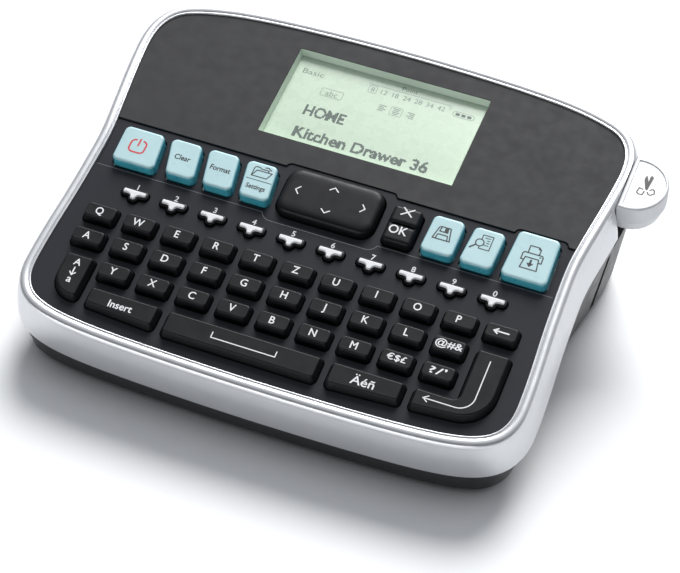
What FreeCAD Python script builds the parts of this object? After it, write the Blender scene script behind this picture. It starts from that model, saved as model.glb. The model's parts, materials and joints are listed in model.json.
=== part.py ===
import FreeCAD, Part
import math
import os
import Sketcher
from FreeCAD import Placement, Rotation, Vector

# Desktop label maker: wedge-shaped case, letter keyboard, display, tape cassette bay and side cutter.
# Millimetres.  +X runs to the user's right, +Y away from the user, +Z up.  The origin lies on the
# table under the middle of the case; x = 0 is the plane of symmetry of the case outline.
#
# The top of the case is two flat decks that meet in a ridge parallel to X: the key deck in front and
# the flatter display deck behind.  A place on a deck is written (x, v, h): v runs up the slope from
# the ridge (negative on the key deck) and h is the height above the deck surface.

doc = FreeCAD.newDocument("label_maker")

# ---------------------------------------------------------------- driving dimensions
SIZES = {
    "key_deck_angle": 16.0,        # degrees, key deck to the table
    "display_deck_angle": 12.1,    # degrees, display deck to the table
    "ridge_back": 5.2,             # y of the ridge where the decks meet
    "ridge_height": 40.7,          # z of the ridge
    "plate_thick": 2.2,            # key plate and display panel
    "skirt_drop": 12.4,            # bezel skirt, down from the deck
    "skirt_out": 5.5,              # bezel skirt, out from the face outline
    "wall_thick": 2.2,
    "floor_low": 1.0,              # underside of the base above the table
    "floor_thick": 2.2,
    "column_pitch": 11.8,
    "row_pitch": 8.57,
    "first_row_v": -33.5,          # middle of the Q row
    "number_row_v": -23.6,
    "key_wide": 9.6,
    "key_deep": 5.9,
    "key_rise": 2.6,               # key top above the plate
    "key_top_wide": 8.5,
    "key_top_deep": 4.1,
    "key_shoulder": 0.4,           # height where the sides start to lean in
    "key_gap": 0.3,                # round each key in the plate
    "flange_out": 0.7,             # retaining flange past the key sides
    "flange_thick": 0.8,
    "flange_top": -2.35,
    "stub_drop": 0.65,             # pusher stub under the flange
    "stub_radius": 1.5,
    "key_travel": 1.0,
    "strip_step": 0.4,             # function strip below the key plate surface
    "function_rise": 2.9,
    "board_top": -5.0,
    "board_thick": 1.6,
    "window_wide": 59.0,
    "window_deep": 33.6,
    "window_front_v": 9.5,
    "screw_shank": 3.0,
    "screw_head": 5.6,
    "screw_length": 9.0,
    "screw_head_high": 2.0,
    "foot_radius": 4.0,
    "foot_high": 1.6,
    "cutter_radius": 9.9,
    "cutter_x": 77.0,
    "cutter_v": 27.6,
    "cutter_flat_x": 75.0,
    "cutter_arm_v": 27.0,
    "cutter_travel": 3.5,
    "roller_radius": 4.5,
    "shaft_radius": 1.5,
    "tape_y": 24.1,
    "pivot_y": 27.0,               # blade pivot
    "pivot_z": 31.0,
    "cell_radius": 7.1,
}

sheet = doc.addObject("Spreadsheet::Sheet", "Dimensions")
for line, (name, value) in enumerate(SIZES.items(), start=1):
    sheet.set("A%d" % line, name)
    sheet.set("B%d" % line, str(value))
    sheet.setAlias("B%d" % line, name)
doc.recompute()


def size(name):
    return float(sheet.get(name))


def bind(thing, prop, expression):
    """Bind a property to the sheet; words that are sheet names are looked up there."""
    words = expression
    for name in sorted(SIZES, key=len, reverse=True):
        words = words.replace(name, "Dimensions.\0" + name[::-1])
    for name in SIZES:
        words = words.replace("\0" + name[::-1], name)
    thing.setExpression(prop, words)


KEY_DECK = Placement(Vector(0, size("ridge_back"), size("ridge_height")),
                     Rotation(Vector(1, 0, 0), size("key_deck_angle")))
DISPLAY_DECK = Placement(Vector(0, size("ridge_back"), size("ridge_height")),
                         Rotation(Vector(1, 0, 0), size("display_deck_angle")))
COLUMN = size("column_pitch")
ROW = size("row_pitch")

# Right half of the face outline, (x, v) from the middle of the front edge round to the back.
FACE_HALF = [(0, -68.5), (20, -68.3), (40, -67.7), (53.1, -66.7), (61.5, -65.0), (66.9, -62.0),
             (69.5, -57.2), (70.0, -51.4), (69.7, -41.4), (69.0, -29.4), (68.5, -15.4), (68.5, -5.4),
             (69.4, 3.6), (70.8, 14.6), (72.0, 25.6), (72.2, 33.1), (71.0, 38.4), (68.0, 42.6),
             (63.0, 45.1), (55.0, 47.2), (42.0, 48.9), (25.0, 49.9), (0, 50.4)]
RIDGE_BLEND = 8.0      # the bezel eases from one deck to the other over this distance each way
OUTLINE_POINTS = 72


def keep(shape, label, placement=None):
    """A finished sub-part that has no primitive or sketched form."""
    thing = doc.addObject("Part::Feature", label)
    thing.Label = label
    thing.Shape = shape
    if placement is not None:
        thing.Placement = placement
    return thing


def box(x0, x1, y0, y1, z0, z1):
    return Part.makeBox(x1 - x0, y1 - y0, z1 - z0, Vector(x0, y0, z0))


def cylinder(x, y, z, radius, height, direction=(0, 0, 1)):
    return Part.makeCylinder(radius, height, Vector(x, y, z), Vector(*direction))


def rounded_block(x0, x1, y0, y1, z0, z1, radius):
    """A box with its four upright edges rounded."""
    block = box(x0, x1, y0, y1, z0, z1)
    upright = [e for e in block.Edges if abs(e.tangentAt(e.FirstParameter).z) > 0.99]
    return block.makeFillet(radius, upright)


def on_deck(shape, deck):
    moved = shape.copy()
    moved.Placement = deck.multiply(moved.Placement)
    return moved


# ---------------------------------------------------------------- face outline and its offsets
def face_curve():
    right = [Vector(x, v, 0) for x, v in FACE_HALF]
    left = [Vector(-x, v, 0) for x, v in reversed(FACE_HALF[1:-1])]
    curve = Part.BSplineCurve()
    curve.interpolate(right + left, PeriodicFlag=True)
    return curve


def outline_points(out):
    """Points of the face outline moved out by a distance, as (x, v)."""
    curve = face_curve()
    spots = curve.discretize(Number=OUTLINE_POINTS + 1)[:-1]
    points = []
    for spot in spots:
        along = curve.tangent(curve.parameter(spot))[0]
        points.append((spot.x + out * along.y, spot.y - out * along.x))
    return points


def deck_angle_at(v):
    front, back = size("key_deck_angle"), size("display_deck_angle")
    share = min(1.0, max(0.0, (v + RIDGE_BLEND) / (2 * RIDGE_BLEND)))
    return math.radians(front + (back - front) * share)


def eased_deck(x, v, h):
    """World position of (x, v, h) on the decks with the ridge eased over."""
    y, z = -RIDGE_BLEND * math.cos(deck_angle_at(-99)), -RIDGE_BLEND * math.sin(deck_angle_at(-99))
    if v < -RIDGE_BLEND:
        y += (v + RIDGE_BLEND) * math.cos(deck_angle_at(-99))
        z += (v + RIDGE_BLEND) * math.sin(deck_angle_at(-99))
    else:
        steps = 16
        reach = min(v, RIDGE_BLEND) + RIDGE_BLEND
        for i in range(steps):
            tilt = deck_angle_at(-RIDGE_BLEND + reach * (i + 0.5) / steps)
            y += reach / steps * math.cos(tilt)
            z += reach / steps * math.sin(tilt)
        if v > RIDGE_BLEND:
            y += (v - RIDGE_BLEND) * math.cos(deck_angle_at(99))
            z += (v - RIDGE_BLEND) * math.sin(deck_angle_at(99))
    tilt = deck_angle_at(v)
    return Vector(x, size("ridge_back") + y - h * math.sin(tilt),
                  size("ridge_height") + z + h * math.cos(tilt))


def closed_wire(points):
    curve = Part.BSplineCurve()
    curve.interpolate(points, PeriodicFlag=True)
    return Part.Wire([curve.toShape()])


def face_prism(out, low, high):
    """Block with the face outline, in deck coordinates, between two heights."""
    wire = closed_wire([Vector(x, v, low) for x, v in outline_points(out)])
    return Part.Face(wire).extrude(Vector(0, 0, high - low))


# ---------------------------------------------------------------- case shells
SCREW_SPOTS = [(66.6, -50.0), (65.4, -6.0), (62.5, 41.0)]     # x and v; one on each side
FEET = [(-54.0, -46.0), (54.0, -46.0), (-65.4, 30.0), (65.4, 30.0), (0.0, 0.0)]     # x and y
INLET_V = -22.0                                              # power inlet, left side


def make_top_bezel():
    """Silver ring round the decks: lip, ridge, hollow and flared skirt, with a ledge inside."""
    drop, out = size("skirt_drop"), size("skirt_out")
    ledge = -size("plate_thick") - 0.05
    skin = [(0.95, 0.5), (1.3, 0.62), (1.8, 0.68), (2.4, 0.6), (2.9, 0.3), (3.25, -0.15), (3.45, -0.6),
            (3.55, -1.1), (3.72, -1.7), (3.95, -2.6), (4.3, -4.0), (4.65, -5.6), (4.95, -7.4),
            (5.2, -9.2), (out, -drop)]
    inside = [(out - 1.9, -drop), (2.7, -8.6), (1.5, -5.0), (0.0, -4.1), (-1.7, -4.1), (-1.7, ledge),
              (0.0, ledge), (0.0, 0.35), (0.2, 0.5), (0.58, 0.5), (0.68, 0.3), (0.82, 0.3)]
    rings = {}
    for out_by, high in skin + inside:
        rings[(out_by, high)] = closed_wire([eased_deck(x, v, high) for x, v in outline_points(out_by)])
    faces = Part.makeLoft([rings[p] for p in skin], False, False).Faces
    trail = [skin[-1]] + inside + [skin[0]]
    for one, two in zip(trail, trail[1:]):
        faces += Part.makeRuledSurface(rings[one].Edges[0], rings[two].Edges[0]).Faces
    shell = Part.makeShell(faces)
    shell.sewShape()
    ring = Part.makeSolid(shell)
    if ring.Volume < 0:
        ring.reverse()

    # screw bosses under the ledge
    for x, v in SCREW_SPOTS:
        for side in (-1, 1):
            y, meet = screw_y(v), screw_meet(v)
            top = eased_deck(x, v, -3.0).z
            ring = ring.fuse(cylinder(side * x, y, meet + 0.05, 2.9, top - meet))
    for x, v in SCREW_SPOTS:
        for side in (-1, 1):
            y, meet = screw_y(v), screw_meet(v)
            ring = ring.cut(cylinder(side * x, y, meet - 1, size("screw_shank") / 2 + 0.03, 8.2))

    # room for the flanges of the outermost keys beside the bosses
    edge_keys = [quad("power_key"), quad("print_key"), WIDE_KEYS["caps_key"], WIDE_KEYS["enter_key"]]
    ring = ring.cut([on_deck(polygon_block(corners, size("flange_out") + 0.9, -5.3, -1.9), KEY_DECK)
                     for corners in edge_keys])

    # pocket for the cutter button, open to the outside
    radius = size("cutter_radius") + 0.6
    pocket = on_deck(cylinder(size("cutter_x"), size("cutter_v"), -30, radius, 40), DISPLAY_DECK)
    outside = box(size("cutter_flat_x") - 0.3, 100, -10, 70, 0, 80)
    ring = ring.cut(pocket.common(outside))
    low = on_deck(box(69.6, 100, size("cutter_v") - 11.6, size("cutter_v") + 11.6, -30, -4.3), DISPLAY_DECK)
    inner = box(60, size("cutter_flat_x") - 0.3, 0, 70, 0, 80)
    ring = ring.cut(low.common(inner))
    ring = ring.cut(low.common(pocket))
    ring = ring.cut(inlet_hole())
    return keep(ring.removeSplitter(), "top_bezel")


def screw_y(v):
    return eased_deck(0, v, 0).y


def screw_meet(v):
    """Height where the bezel boss and the base boss meet."""
    return 10.0 if v < -30 else (22.0 if v < 20 else 27.0)


def inlet_hole():
    spot = eased_deck(0, INLET_V, -size("skirt_drop"))
    return cylinder(-90, spot.y, spot.z, 4.2, 20.4, (1, 0, 0))


def low_y(v):
    """y of the wall foot below a place on the outline: further forward under the front edge."""
    front, back = FACE_HALF[0][1], FACE_HALF[-1][1]
    return eased_deck(0, v, 0).y + 1.4 + 3.8 * (v - front) / (back - front)


def base_block(inset, floor):
    """Solid inside the base walls, from the floor to above the joint with the bezel."""
    drop = size("skirt_drop")
    high_out, low_out = 5.0 - inset, 1.6 - inset
    tops = [eased_deck(x, v, -drop) for x, v in outline_points(high_out)]
    lows = [Vector(x, low_y(v), 4.2) for x, v in outline_points(low_out)]
    slope = math.tan(math.radians(14.0))
    wires = []
    for turn_in, z in ((3.3, floor), (2.0, floor + 0.35), (1.0, floor + 1.0), (0.35, floor + 1.9)):
        wires.append(closed_wire([Vector(x, low_y(v), z) for x, v in outline_points(low_out - turn_in)]))
    wires.append(closed_wire(lows))
    highs = []
    for low, top in zip(lows, tops):
        run = top - low
        # carry the wall on past the joint to a plane above it
        reach = (33.5 + slope * low.y - low.z) / (run.z - slope * run.y)
        highs.append(low + run * reach)
    wires.append(closed_wire(highs))
    return Part.makeLoft(wires, True, True)


def above_joint():
    """Everything above the joint between base and bezel."""
    drop = size("skirt_drop") + 0.2
    front = on_deck(box(-100, 100, -100, 0, -drop, 80), KEY_DECK)
    back = on_deck(box(-100, 100, 0, 100, -drop, 80), DISPLAY_DECK)
    turn = math.tan(math.radians((size("key_deck_angle") - size("display_deck_angle")) / 2))
    wedge = on_deck(box(-100, 100, -0.1, drop * turn * 2 + 1, -drop, 80), KEY_DECK)
    return front.fuse([back, wedge])


BATTERY = (-58.0, -20.0, 12.0, 50.0)           # x0, x1, y0, y1 of the battery bay
CHANNEL = (-60.0, -18.0)                       # x of the cover channel
DOOR = (-15.0, 45.5, 9.0, 54.0)                # x0, x1, y0, y1 of the cassette opening
HINGE_Y, HINGE_Z = 56.4, 2.9


def make_base_shell():
    """Black lower case: floor, walls, battery bay, cassette bay, bosses and cutter frame."""
    low, thick = size("floor_low"), size("floor_thick")
    outer = base_block(0.0, low)
    inner = base_block(size("wall_thick"), low + thick)
    shell = outer.cut(inner).cut(above_joint())

    floor_top = low + thick
    add = []
    for x, v in SCREW_SPOTS:
        for side in (-1, 1):
            high = screw_meet(v) - 0.05 - (floor_top - 1)
            add.append(cylinder(side * x, screw_y(v), floor_top - 1, 3.9, high))
    # battery bay walls and roof
    bx0, bx1, by0, by1 = BATTERY
    bay = box(bx0 - 1.6, bx1 + 1.6, by0 - 1.6, by1 + 1.6, floor_top - 0.5, 26.0)
    add.append(bay.cut(box(bx0, bx1, by0, by1, 0, 24.6)))
    # cassette bay: side wall towards the battery, rear wall and corner guides
    add.append(box(DOOR[0] - 1.6, DOOR[0], DOOR[2], DOOR[3], floor_top - 0.5, 20.0))
    add.append(box(DOOR[0] - 1.6, 30.0, DOOR[3] - 0.2, DOOR[3] + 1.2, floor_top + 2.4, 20.0))
    # print head post, platen bearing, tape anvil
    add.append(box(49.5, 57.0, 12.2, 15.0, floor_top - 0.5, 24.0))
    add.append(cylinder(53, 28.9, floor_top - 0.5, 3.4, 1.9))
    add.append(box(62.8, 65.4, 19.6, 23.3, floor_top - 0.5, 27.0))
    # lining of the cutter pocket
    cx, cv, arm_v = size("cutter_x"), size("cutter_v"), size("cutter_arm_v")
    radius = size("cutter_radius") + 0.6
    lining = on_deck(cylinder(cx, cv, -18.8, radius + 1.6, 18.8 - 12.6), DISPLAY_DECK)
    lining = lining.common(box(70.4, 100, 0, 60, 0, 60)).common(outer)
    wall = on_deck(box(70.4, 72.4, cv - 11.4, cv + 11.4, -18.8, -4.45), DISPLAY_DECK)
    add += [lining, wall]
    # blade pivot
    py, pz = size("pivot_y"), size("pivot_z")
    add.append(cylinder(67.6, py, pz, 2.6, 3.2, (1, 0, 0)))
    shell = shell.fuse(add)

    cut = []
    pocket = on_deck(cylinder(cx, cv, -17.2, radius, 40), DISPLAY_DECK)
    cut.append(pocket.common(box(72.4, 100, 0, 60, 0, 80)))
    cut.append(on_deck(box(70, 73, arm_v + 2.0, arm_v + 10.2, -16.9, -8.0), DISPLAY_DECK))     # arm window
    cut.append(box(66, 90, size("tape_y") - 1.5, size("tape_y") + 1.5, 4.6, 25.6))      # label exit
    cut.append(cylinder(53, 28.9, floor_top + 0.0, size("shaft_radius") + 0.05, 3))
    for x, v in SCREW_SPOTS:
        for side in (-1, 1):
            meet = screw_meet(v)
            cut.append(cylinder(side * x, screw_y(v), 0, size("screw_shank") / 2 + 0.03, meet + 1))
            cut.append(cylinder(side * x, screw_y(v), 0, size("screw_head") / 2 + 0.2, meet - 3))
    for x, y in FEET:
        cut.append(cylinder(x, y, 0, size("foot_radius") + 0.1, size("foot_high") + 0.05))
    # battery cover: opening, channel to the rear edge and side grooves
    cut.append(box(bx0, bx1, by0, by1, 0, 10))
    cut.append(box(CHANNEL[0], CHANNEL[1], by0 - 2.0, 75, 0, 2.5))
    cut.append(box(CHANNEL[0] - 1.1, CHANNEL[1] + 1.1, by0 - 2.0, 75, 1.55, 2.5))
    # cassette door opening and hinge trough
    dx0, dx1, dy0, dy1 = DOOR
    cut.append(box(dx0, dx1, dy0, dy1, 0, 8))
    cut.append(box(dx0, dx1, dy1 - 0.1, dy1 + 0.7, 0, 1.9))
    cut.append(cylinder(dx0 + 6, HINGE_Y, HINGE_Z, 2.0, dx1 - dx0 - 12, (1, 0, 0)))
    cut.append(box(dx0 + 6, dx1 - 6, dy1 - 1, HINGE_Y + 2.0, 0, HINGE_Z))
    cut.append(inlet_hole())
    shell = shell.cut(cut)
    pin = cylinder(65.3, py, pz, 1.2, 2.6, (1, 0, 0))
    hinge_pin = cylinder(dx0 + 2, HINGE_Y, HINGE_Z, 0.75, dx1 - dx0 - 4, (1, 0, 0))
    blocks = [box(dx0 + 2, dx0 + 5.7, HINGE_Y - 1.4, HINGE_Y + 1.6, 2.0, HINGE_Z + 1.4),
              box(dx1 - 5.7, dx1 - 2, HINGE_Y - 1.4, HINGE_Y + 1.6, 2.0, HINGE_Z + 1.4)]
    shell = shell.fuse([pin, hinge_pin] + blocks)
    return keep(shell, "base_shell")


# ---------------------------------------------------------------- deck plates
FUNCTION_KEYS = {     # front x0, front x1, back x0, back x1, front v, back v
    "power_key": (-63.9, -50.8, -64.2, -52.2, -15.7, -3.5),
    "clear_key": (-47.4, -38.7, -50.2, -40.7, -15.3, -3.3),
    "format_key": (-36.1, -27.3, -38.6, -29.3, -15.3, -3.2),
    "settings_key": (-25.0, -16.2, -26.8, -17.6, -15.3, -3.1),
    "save_key": (28.8, 38.3, 29.3, 38.4, -15.7, -3.3),
    "preview_key": (40.2, 49.7, 41.2, 50.2, -15.9, -3.3),
    "print_key": (52.2, 65.5, 53.0, 65.0, -16.0, -0.4),
}
NAV = (-14.4, 14.4, -16.2, -0.5)              # x0, x1, v0, v1 of the navigation pad
ROCKER = (17.5, 26.2, -15.8, -3.4)            # cancel / OK
# wide keys: corners (x, v) and corner radii, anticlockwise from the front left
WIDE_KEYS = {
    "caps_key": [(-62.6, -61.6, 7.0), (-53.7, -62.2, 1.6), (-53.7, -48.1, 1.2), (-62.6, -48.1, 1.2)],
    "insert_key": [(-51.4, -62.6, 1.2), (-30.3, -64.0, 1.6), (-30.3, -56.5, 1.2), (-51.4, -56.5, 1.2)],
    "space_key": [(-28.1, -64.4, 1.6), (17.1, -64.4, 1.6), (17.1, -56.5, 1.2), (-28.1, -56.5, 1.2)],
    "accents_key": [(19.5, -64.4, 1.6), (40.6, -63.2, 1.2), (40.6, -56.5, 1.2), (19.5, -56.5, 1.2)],
    "enter_key": [(42.9, -63.2, 1.2), (64.4, -61.6, 9.5), (64.4, -39.8, 1.2), (54.6, -39.8, 1.2),
                  (54.6, -56.6, 1.4), (42.9, -56.6, 1.2)],
}
LETTER_ROWS = [("qwertzuiop", -5), ("asdfghjkl", -5), ("yxcvbnm", -4)]
SYMBOLS = [(5, 0), (4, 1), (3, 2), (4, 2)]     # column from the middle, row


def row_v(row):
    return size("first_row_v") - row * ROW


def letter_spots():
    spots = {}
    for row, (letters, first) in enumerate(LETTER_ROWS):
        for i, letter in enumerate(letters):
            spots[letter] = ((first + i) * COLUMN, row_v(row))
    return spots


def rounded_polygon(corners, grow, z):
    """Wire through corners (x, v, radius), moved outwards by grow, at height z."""
    count = len(corners)
    lines = []
    for i in range(count):
        ax, ay, _ = corners[i]
        bx, by, _ = corners[(i + 1) % count]
        length = math.hypot(bx - ax, by - ay)
        nx, ny = (by - ay) / length, -(bx - ax) / length
        lines.append((nx, ny, nx * ax + ny * ay + grow))
    moved = []
    for i in range(count):
        a, b = lines[i - 1], lines[i]
        det = a[0] * b[1] - a[1] * b[0]
        moved.append(((a[2] * b[1] - b[2] * a[1]) / det, (a[0] * b[2] - b[0] * a[2]) / det))
    edges, starts = [], []
    for i in range(count):
        px, py = moved[i - 1]
        cx, cy = moved[i]
        nx, ny = moved[(i + 1) % count]
        to_prev = Vector(px - cx, py - cy, 0).normalize()
        to_next = Vector(nx - cx, ny - cy, 0).normalize()
        turn = (corners[i][0] - corners[i - 1][0]) * (corners[(i + 1) % count][1] - corners[i][1]) \
            - (corners[i][1] - corners[i - 1][1]) * (corners[(i + 1) % count][0] - corners[i][0])
        radius = corners[i][2] + (grow if turn > 0 else -grow)
        radius = max(radius, 0.25)
        half = math.acos(max(-1.0, min(1.0, to_prev.dot(to_next)))) / 2
        reach = radius / math.tan(half)
        corner = Vector(cx, cy, z)
        one, two = corner + to_prev * reach, corner + to_next * reach
        middle = (to_prev + to_next).normalize()
        centre = corner + middle * (radius / math.sin(half))
        edges.append((one, centre - middle * radius, two))
    wire = []
    for i, (one, mid, two) in enumerate(edges):
        wire.append(Part.Arc(one, mid, two).toShape())
        nxt = edges[(i + 1) % count][0]
        if (nxt - two).Length > 1e-6:
            wire.append(Part.makeLine(two, nxt))
    return Part.Wire(Part.__sortEdges__(wire))


def polygon_block(corners, grow, low, high):
    return Part.Face(rounded_polygon(corners, grow, low)).extrude(Vector(0, 0, high - low))


def quad(name):
    fx0, fx1, bx0, bx1, v0, v1 = FUNCTION_KEYS[name]
    return [(fx0, v0, 1.6), (fx1, v0, 1.6), (bx1, v1, 1.6), (bx0, v1, 1.6)]


def rectangle(x0, x1, v0, v1, radius):
    return [(x0, v0, radius), (x1, v0, radius), (x1, v1, radius), (x0, v1, radius)]


def number_outline(x):
    v = size("number_row_v")
    return [(x - 1.4, v - 2.9, 1.2), (x + 1.4, v - 2.9, 1.2), (x + 1.5, v - 1.35, 0.5),
            (x + 4.1, v - 1.35, 1.1), (x + 4.1, v + 1.35, 1.1), (x - 4.1, v + 1.35, 1.1),
            (x - 4.1, v - 1.35, 1.1), (x - 1.5, v - 1.35, 0.5)]


def number_spots():
    return [(i - 4.5) * COLUMN for i in range(10)]


def seam_bumps(grow):
    """Raised parts of the strip edge that pass round the pad and the print key."""
    return [rectangle(-16.5 - grow, 16.5 + grow, -6, 1.2 + grow, 1.5 + grow),
            rectangle(51.5 - grow, 66.6 + grow, -6, 1.4 + grow, 1.5 + grow)]


def make_face_plate():
    """Key plate and function strip in one moulding, with an opening for every key."""
    thick, gap, step = size("plate_thick"), size("key_gap"), size("strip_step")
    plate = face_prism(-0.12, -thick, 0).common(box(-100, 100, -80, -0.15, -20, 20))
    for bump in seam_bumps(0):
        plate = plate.fuse(polygon_block(bump, 0, -thick, 0))
    strip = box(-100, 100, -16.9, 10, -step, 5).fuse(
        polygon_block(rectangle(-17.2, 17.2, -19.0, -10, 3.0), 0, -step, 5))
    cuts = [strip]
    for x, v in list(letter_spots().values()) + [(c * COLUMN, row_v(r)) for c, r in SYMBOLS]:
        w, d = size("key_wide") / 2 + gap, size("key_deep") / 2 + gap
        cuts.append(rounded_block(x - w, x + w, v - d, v + d, -9, 9, 1.5))
    for corners in WIDE_KEYS.values():
        cuts.append(polygon_block(corners, gap, -9, 9))
    for name in FUNCTION_KEYS:
        cuts.append(polygon_block(quad(name), gap + 0.15, -9, 9))
    for x in number_spots():
        cuts.append(polygon_block(number_outline(x), gap, -9, 9))
    cuts.append(polygon_block(rectangle(NAV[0], NAV[1], NAV[2], NAV[3], 4.0), 0.55, -9, 9))
    cuts.append(polygon_block(rectangle(*ROCKER, 1.6), 0.45, -9, 9))
    plate = plate.cut(cuts)
    return keep(plate, "face_plate", KEY_DECK)


def make_display_panel():
    """Dark panel behind the ridge with the bevelled display window and four posts."""
    thick = size("plate_thick")
    panel = face_prism(-0.12, -thick, 0).common(box(-100, 100, 0.15, 80, -20, 20))
    for bump in seam_bumps(0.3):
        panel = panel.cut(polygon_block(bump, 0, -9, 9))
    w, v0 = size("window_wide") / 2, size("window_front_v")
    v1 = v0 + size("window_deep")
    wide = rounded_polygon(rectangle(-w, w, v0, v1, 0.3), 0, 0.01)
    narrow = rounded_polygon(rectangle(-w + 0.6, w - 0.6, v0 + 0.6, v1 - 0.6, 0.3), 0, -thick - 0.01)
    panel = panel.cut(Part.makeLoft([wide, narrow], True, True))
    for x in (-36.5, 36.5):
        for v in (11.0, 42.0):
            panel = panel.fuse(cylinder(x, v, -thick - 4.4, 1.2, 4.6))
    return keep(panel, "display_panel", DISPLAY_DECK)


def make_lcd_module():
    """Display glass on its frame with ears that sit on the panel posts."""
    top = -size("plate_thick") - 0.25
    frame = box(-34, 34, 6.6, 46.0, top - 4.6, top - 1.2)
    glass = box(-31.5, 31.5, 8.6, 44.2, top - 1.3, top)
    ears = [rounded_block(x0, x1, v - 2.2, v + 2.2, top - 3.4, top - 1.2, 1.0)
            for x0, x1 in ((-39, -33), (33, 39)) for v in (11.0, 42.0)]
    module = frame.fuse([glass] + ears)
    holes = [cylinder(x, v, -12, 1.25, 12) for x in (-36.5, 36.5) for v in (11.0, 42.0)]
    tail = box(-14, 14, 3.6, 7.0, top - 4.2, top - 3.8)
    return keep(module.fuse(tail).cut(holes), "lcd_module", DISPLAY_DECK)


# ---------------------------------------------------------------- keys
def make_box(name, spans):
    """Box whose corner and sizes follow expressions, spans = (x0, wide, y0, deep, z0, high)."""
    thing = doc.addObject("Part::Box", name)
    for prop, expression in zip(("Placement.Base.x", "Length", "Placement.Base.y", "Width",
                                 "Placement.Base.z", "Height"), spans):
        bind(thing, prop, expression)
    return thing


def make_letter_key(label, spots):
    """Keys of the common size: leaning cap, shoulder, retaining flange and pusher stub."""
    copies = []
    for number, (x, v) in enumerate(spots):
        tag = "%s_%d" % (label, number)
        cap = doc.addObject("Part::Wedge", tag + "_cap")
        for prop, expression in (("Xmin", "-key_wide / 2"), ("Xmax", "key_wide / 2"),
                                 ("Zmin", "-key_deep / 2"), ("Zmax", "key_deep / 2"),
                                 ("X2min", "-key_top_wide / 2"), ("X2max", "key_top_wide / 2"),
                                 ("Z2min", "-key_top_deep / 2"), ("Z2max", "key_top_deep / 2"),
                                 ("Ymin", "key_shoulder"), ("Ymax", "key_rise")):
            bind(cap, prop, expression)
        cap.Placement = Placement(Vector(0, 0, 0), Rotation(Vector(1, 0, 0), 90))
        skirt = make_box(tag + "_skirt", ("-key_wide / 2", "key_wide", "-key_deep / 2", "key_deep",
                                          "flange_top", "key_shoulder - flange_top"))
        doc.recompute([cap, skirt])
        soft_cap = doc.addObject("Part::Fillet", tag + "_soft_cap")
        soft_cap.Base = cap
        rise, shoulder = size("key_rise"), size("key_shoulder")
        soft_cap.Edges = [(i, 0.6, 0.6) if min(p.Z for p in (e.Vertexes[0], e.Vertexes[1])) > rise - 0.01
                          else (i, 1.2, 1.2) for i, e in enumerate(cap.Shape.Edges, start=1)
                          if max(q.Z for q in e.Vertexes) > shoulder + 0.01]
        soft_skirt = doc.addObject("Part::Fillet", tag + "_soft_skirt")
        soft_skirt.Base = skirt
        soft_skirt.Edges = [(i, 1.2, 1.2) for i, e in enumerate(skirt.Shape.Edges, start=1)
                            if abs(e.Vertexes[0].Z - e.Vertexes[1].Z) > 0.1]
        flange = make_box(tag + "_flange",
                          ("-key_wide / 2 - flange_out", "key_wide + 2 * flange_out",
                           "-key_deep / 2 - flange_out", "key_deep + 2 * flange_out",
                           "flange_top - flange_thick", "flange_thick"))
        stub = doc.addObject("Part::Cylinder", tag + "_stub")
        bind(stub, "Radius", "stub_radius")
        bind(stub, "Height", "stub_drop + 0.1")
        bind(stub, "Placement.Base.z", "flange_top - flange_thick - stub_drop")
        joined = doc.addObject("Part::MultiFuse", tag)
        joined.Shapes = [soft_cap, soft_skirt, flange, stub]
        joined.Placement = KEY_DECK.multiply(Placement(Vector(x, v, 0), Rotation()))
        copies.append(joined)
    if len(copies) == 1:
        copies[0].Label = label
        return copies[0]
    group = doc.addObject("Part::Compound", label)
    group.Label = label
    group.Links = copies
    return group


def key_under(corners, x, v, top):
    """Flange and stub below a key of any outline."""
    flange = polygon_block(corners, size("flange_out"), size("flange_top") - size("flange_thick"),
                           size("flange_top"))
    low = size("flange_top") - size("flange_thick") - size("stub_drop")
    skirt = polygon_block(corners, 0, size("flange_top") - 0.05, top)
    return [flange, skirt, cylinder(x, v, low, size("stub_radius"), size("stub_drop") + 0.1)]


def make_wide_key(label):
    corners = WIDE_KEYS[label]
    rise, shoulder = size("key_rise"), size("key_shoulder")
    lean = (size("key_deep") - size("key_top_deep")) / 2
    wires = [rounded_polygon(corners, -lean * share, z)
             for share, z in ((0, shoulder), (0.62, rise - 0.5), (0.78, rise - 0.14), (1.0, rise))]
    cap = Part.makeLoft(wires, True, True)
    middle = sum(c[0] for c in corners) / len(corners), sum(c[1] for c in corners) / len(corners)
    if label == "enter_key":
        middle = (59.5, -50.0)
    key = cap.fuse(key_under(corners, middle[0], middle[1], shoulder))
    return keep(key.removeSplitter(), label, KEY_DECK)


def make_function_key(label):
    """Tall straight-sided key with softened top edges; front and back widths differ."""
    fx0, fx1, bx0, bx1, v0, v1 = FUNCTION_KEYS[label]
    cap = doc.addObject("Part::Wedge", label + "_cap")
    cap.Xmin, cap.Xmax, cap.X2min, cap.X2max = fx0, fx1, bx0, bx1
    cap.Ymin, cap.Ymax = v0, v1
    for prop in ("Zmin", "Z2min"):
        bind(cap, prop, "flange_top - 0.05")
    for prop in ("Zmax", "Z2max"):
        bind(cap, prop, "function_rise")
    doc.recompute([cap])
    soft = doc.addObject("Part::Fillet", label + "_soft")
    soft.Base = cap
    top = size("function_rise") - 0.01
    soft.Edges = [(i, 0.7, 0.7) if min(q.Z for q in e.Vertexes) > top else (i, 1.7, 1.7)
                  for i, e in enumerate(cap.Shape.Edges, start=1)
                  if min(q.Z for q in e.Vertexes) > top or abs(e.Vertexes[0].Z - e.Vertexes[1].Z) > 1]
    under = doc.addObject("Part::Feature", label + "_under")
    middle = ((fx0 + fx1 + bx0 + bx1) / 4, (v0 + v1) / 2)
    parts = key_under(quad(label), middle[0], middle[1], 0)
    under.Shape = parts[0].fuse(parts[2])
    joined = doc.addObject("Part::MultiFuse", label)
    joined.Label = label
    joined.Shapes = [soft, under]
    joined.Placement = KEY_DECK
    return joined


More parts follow.
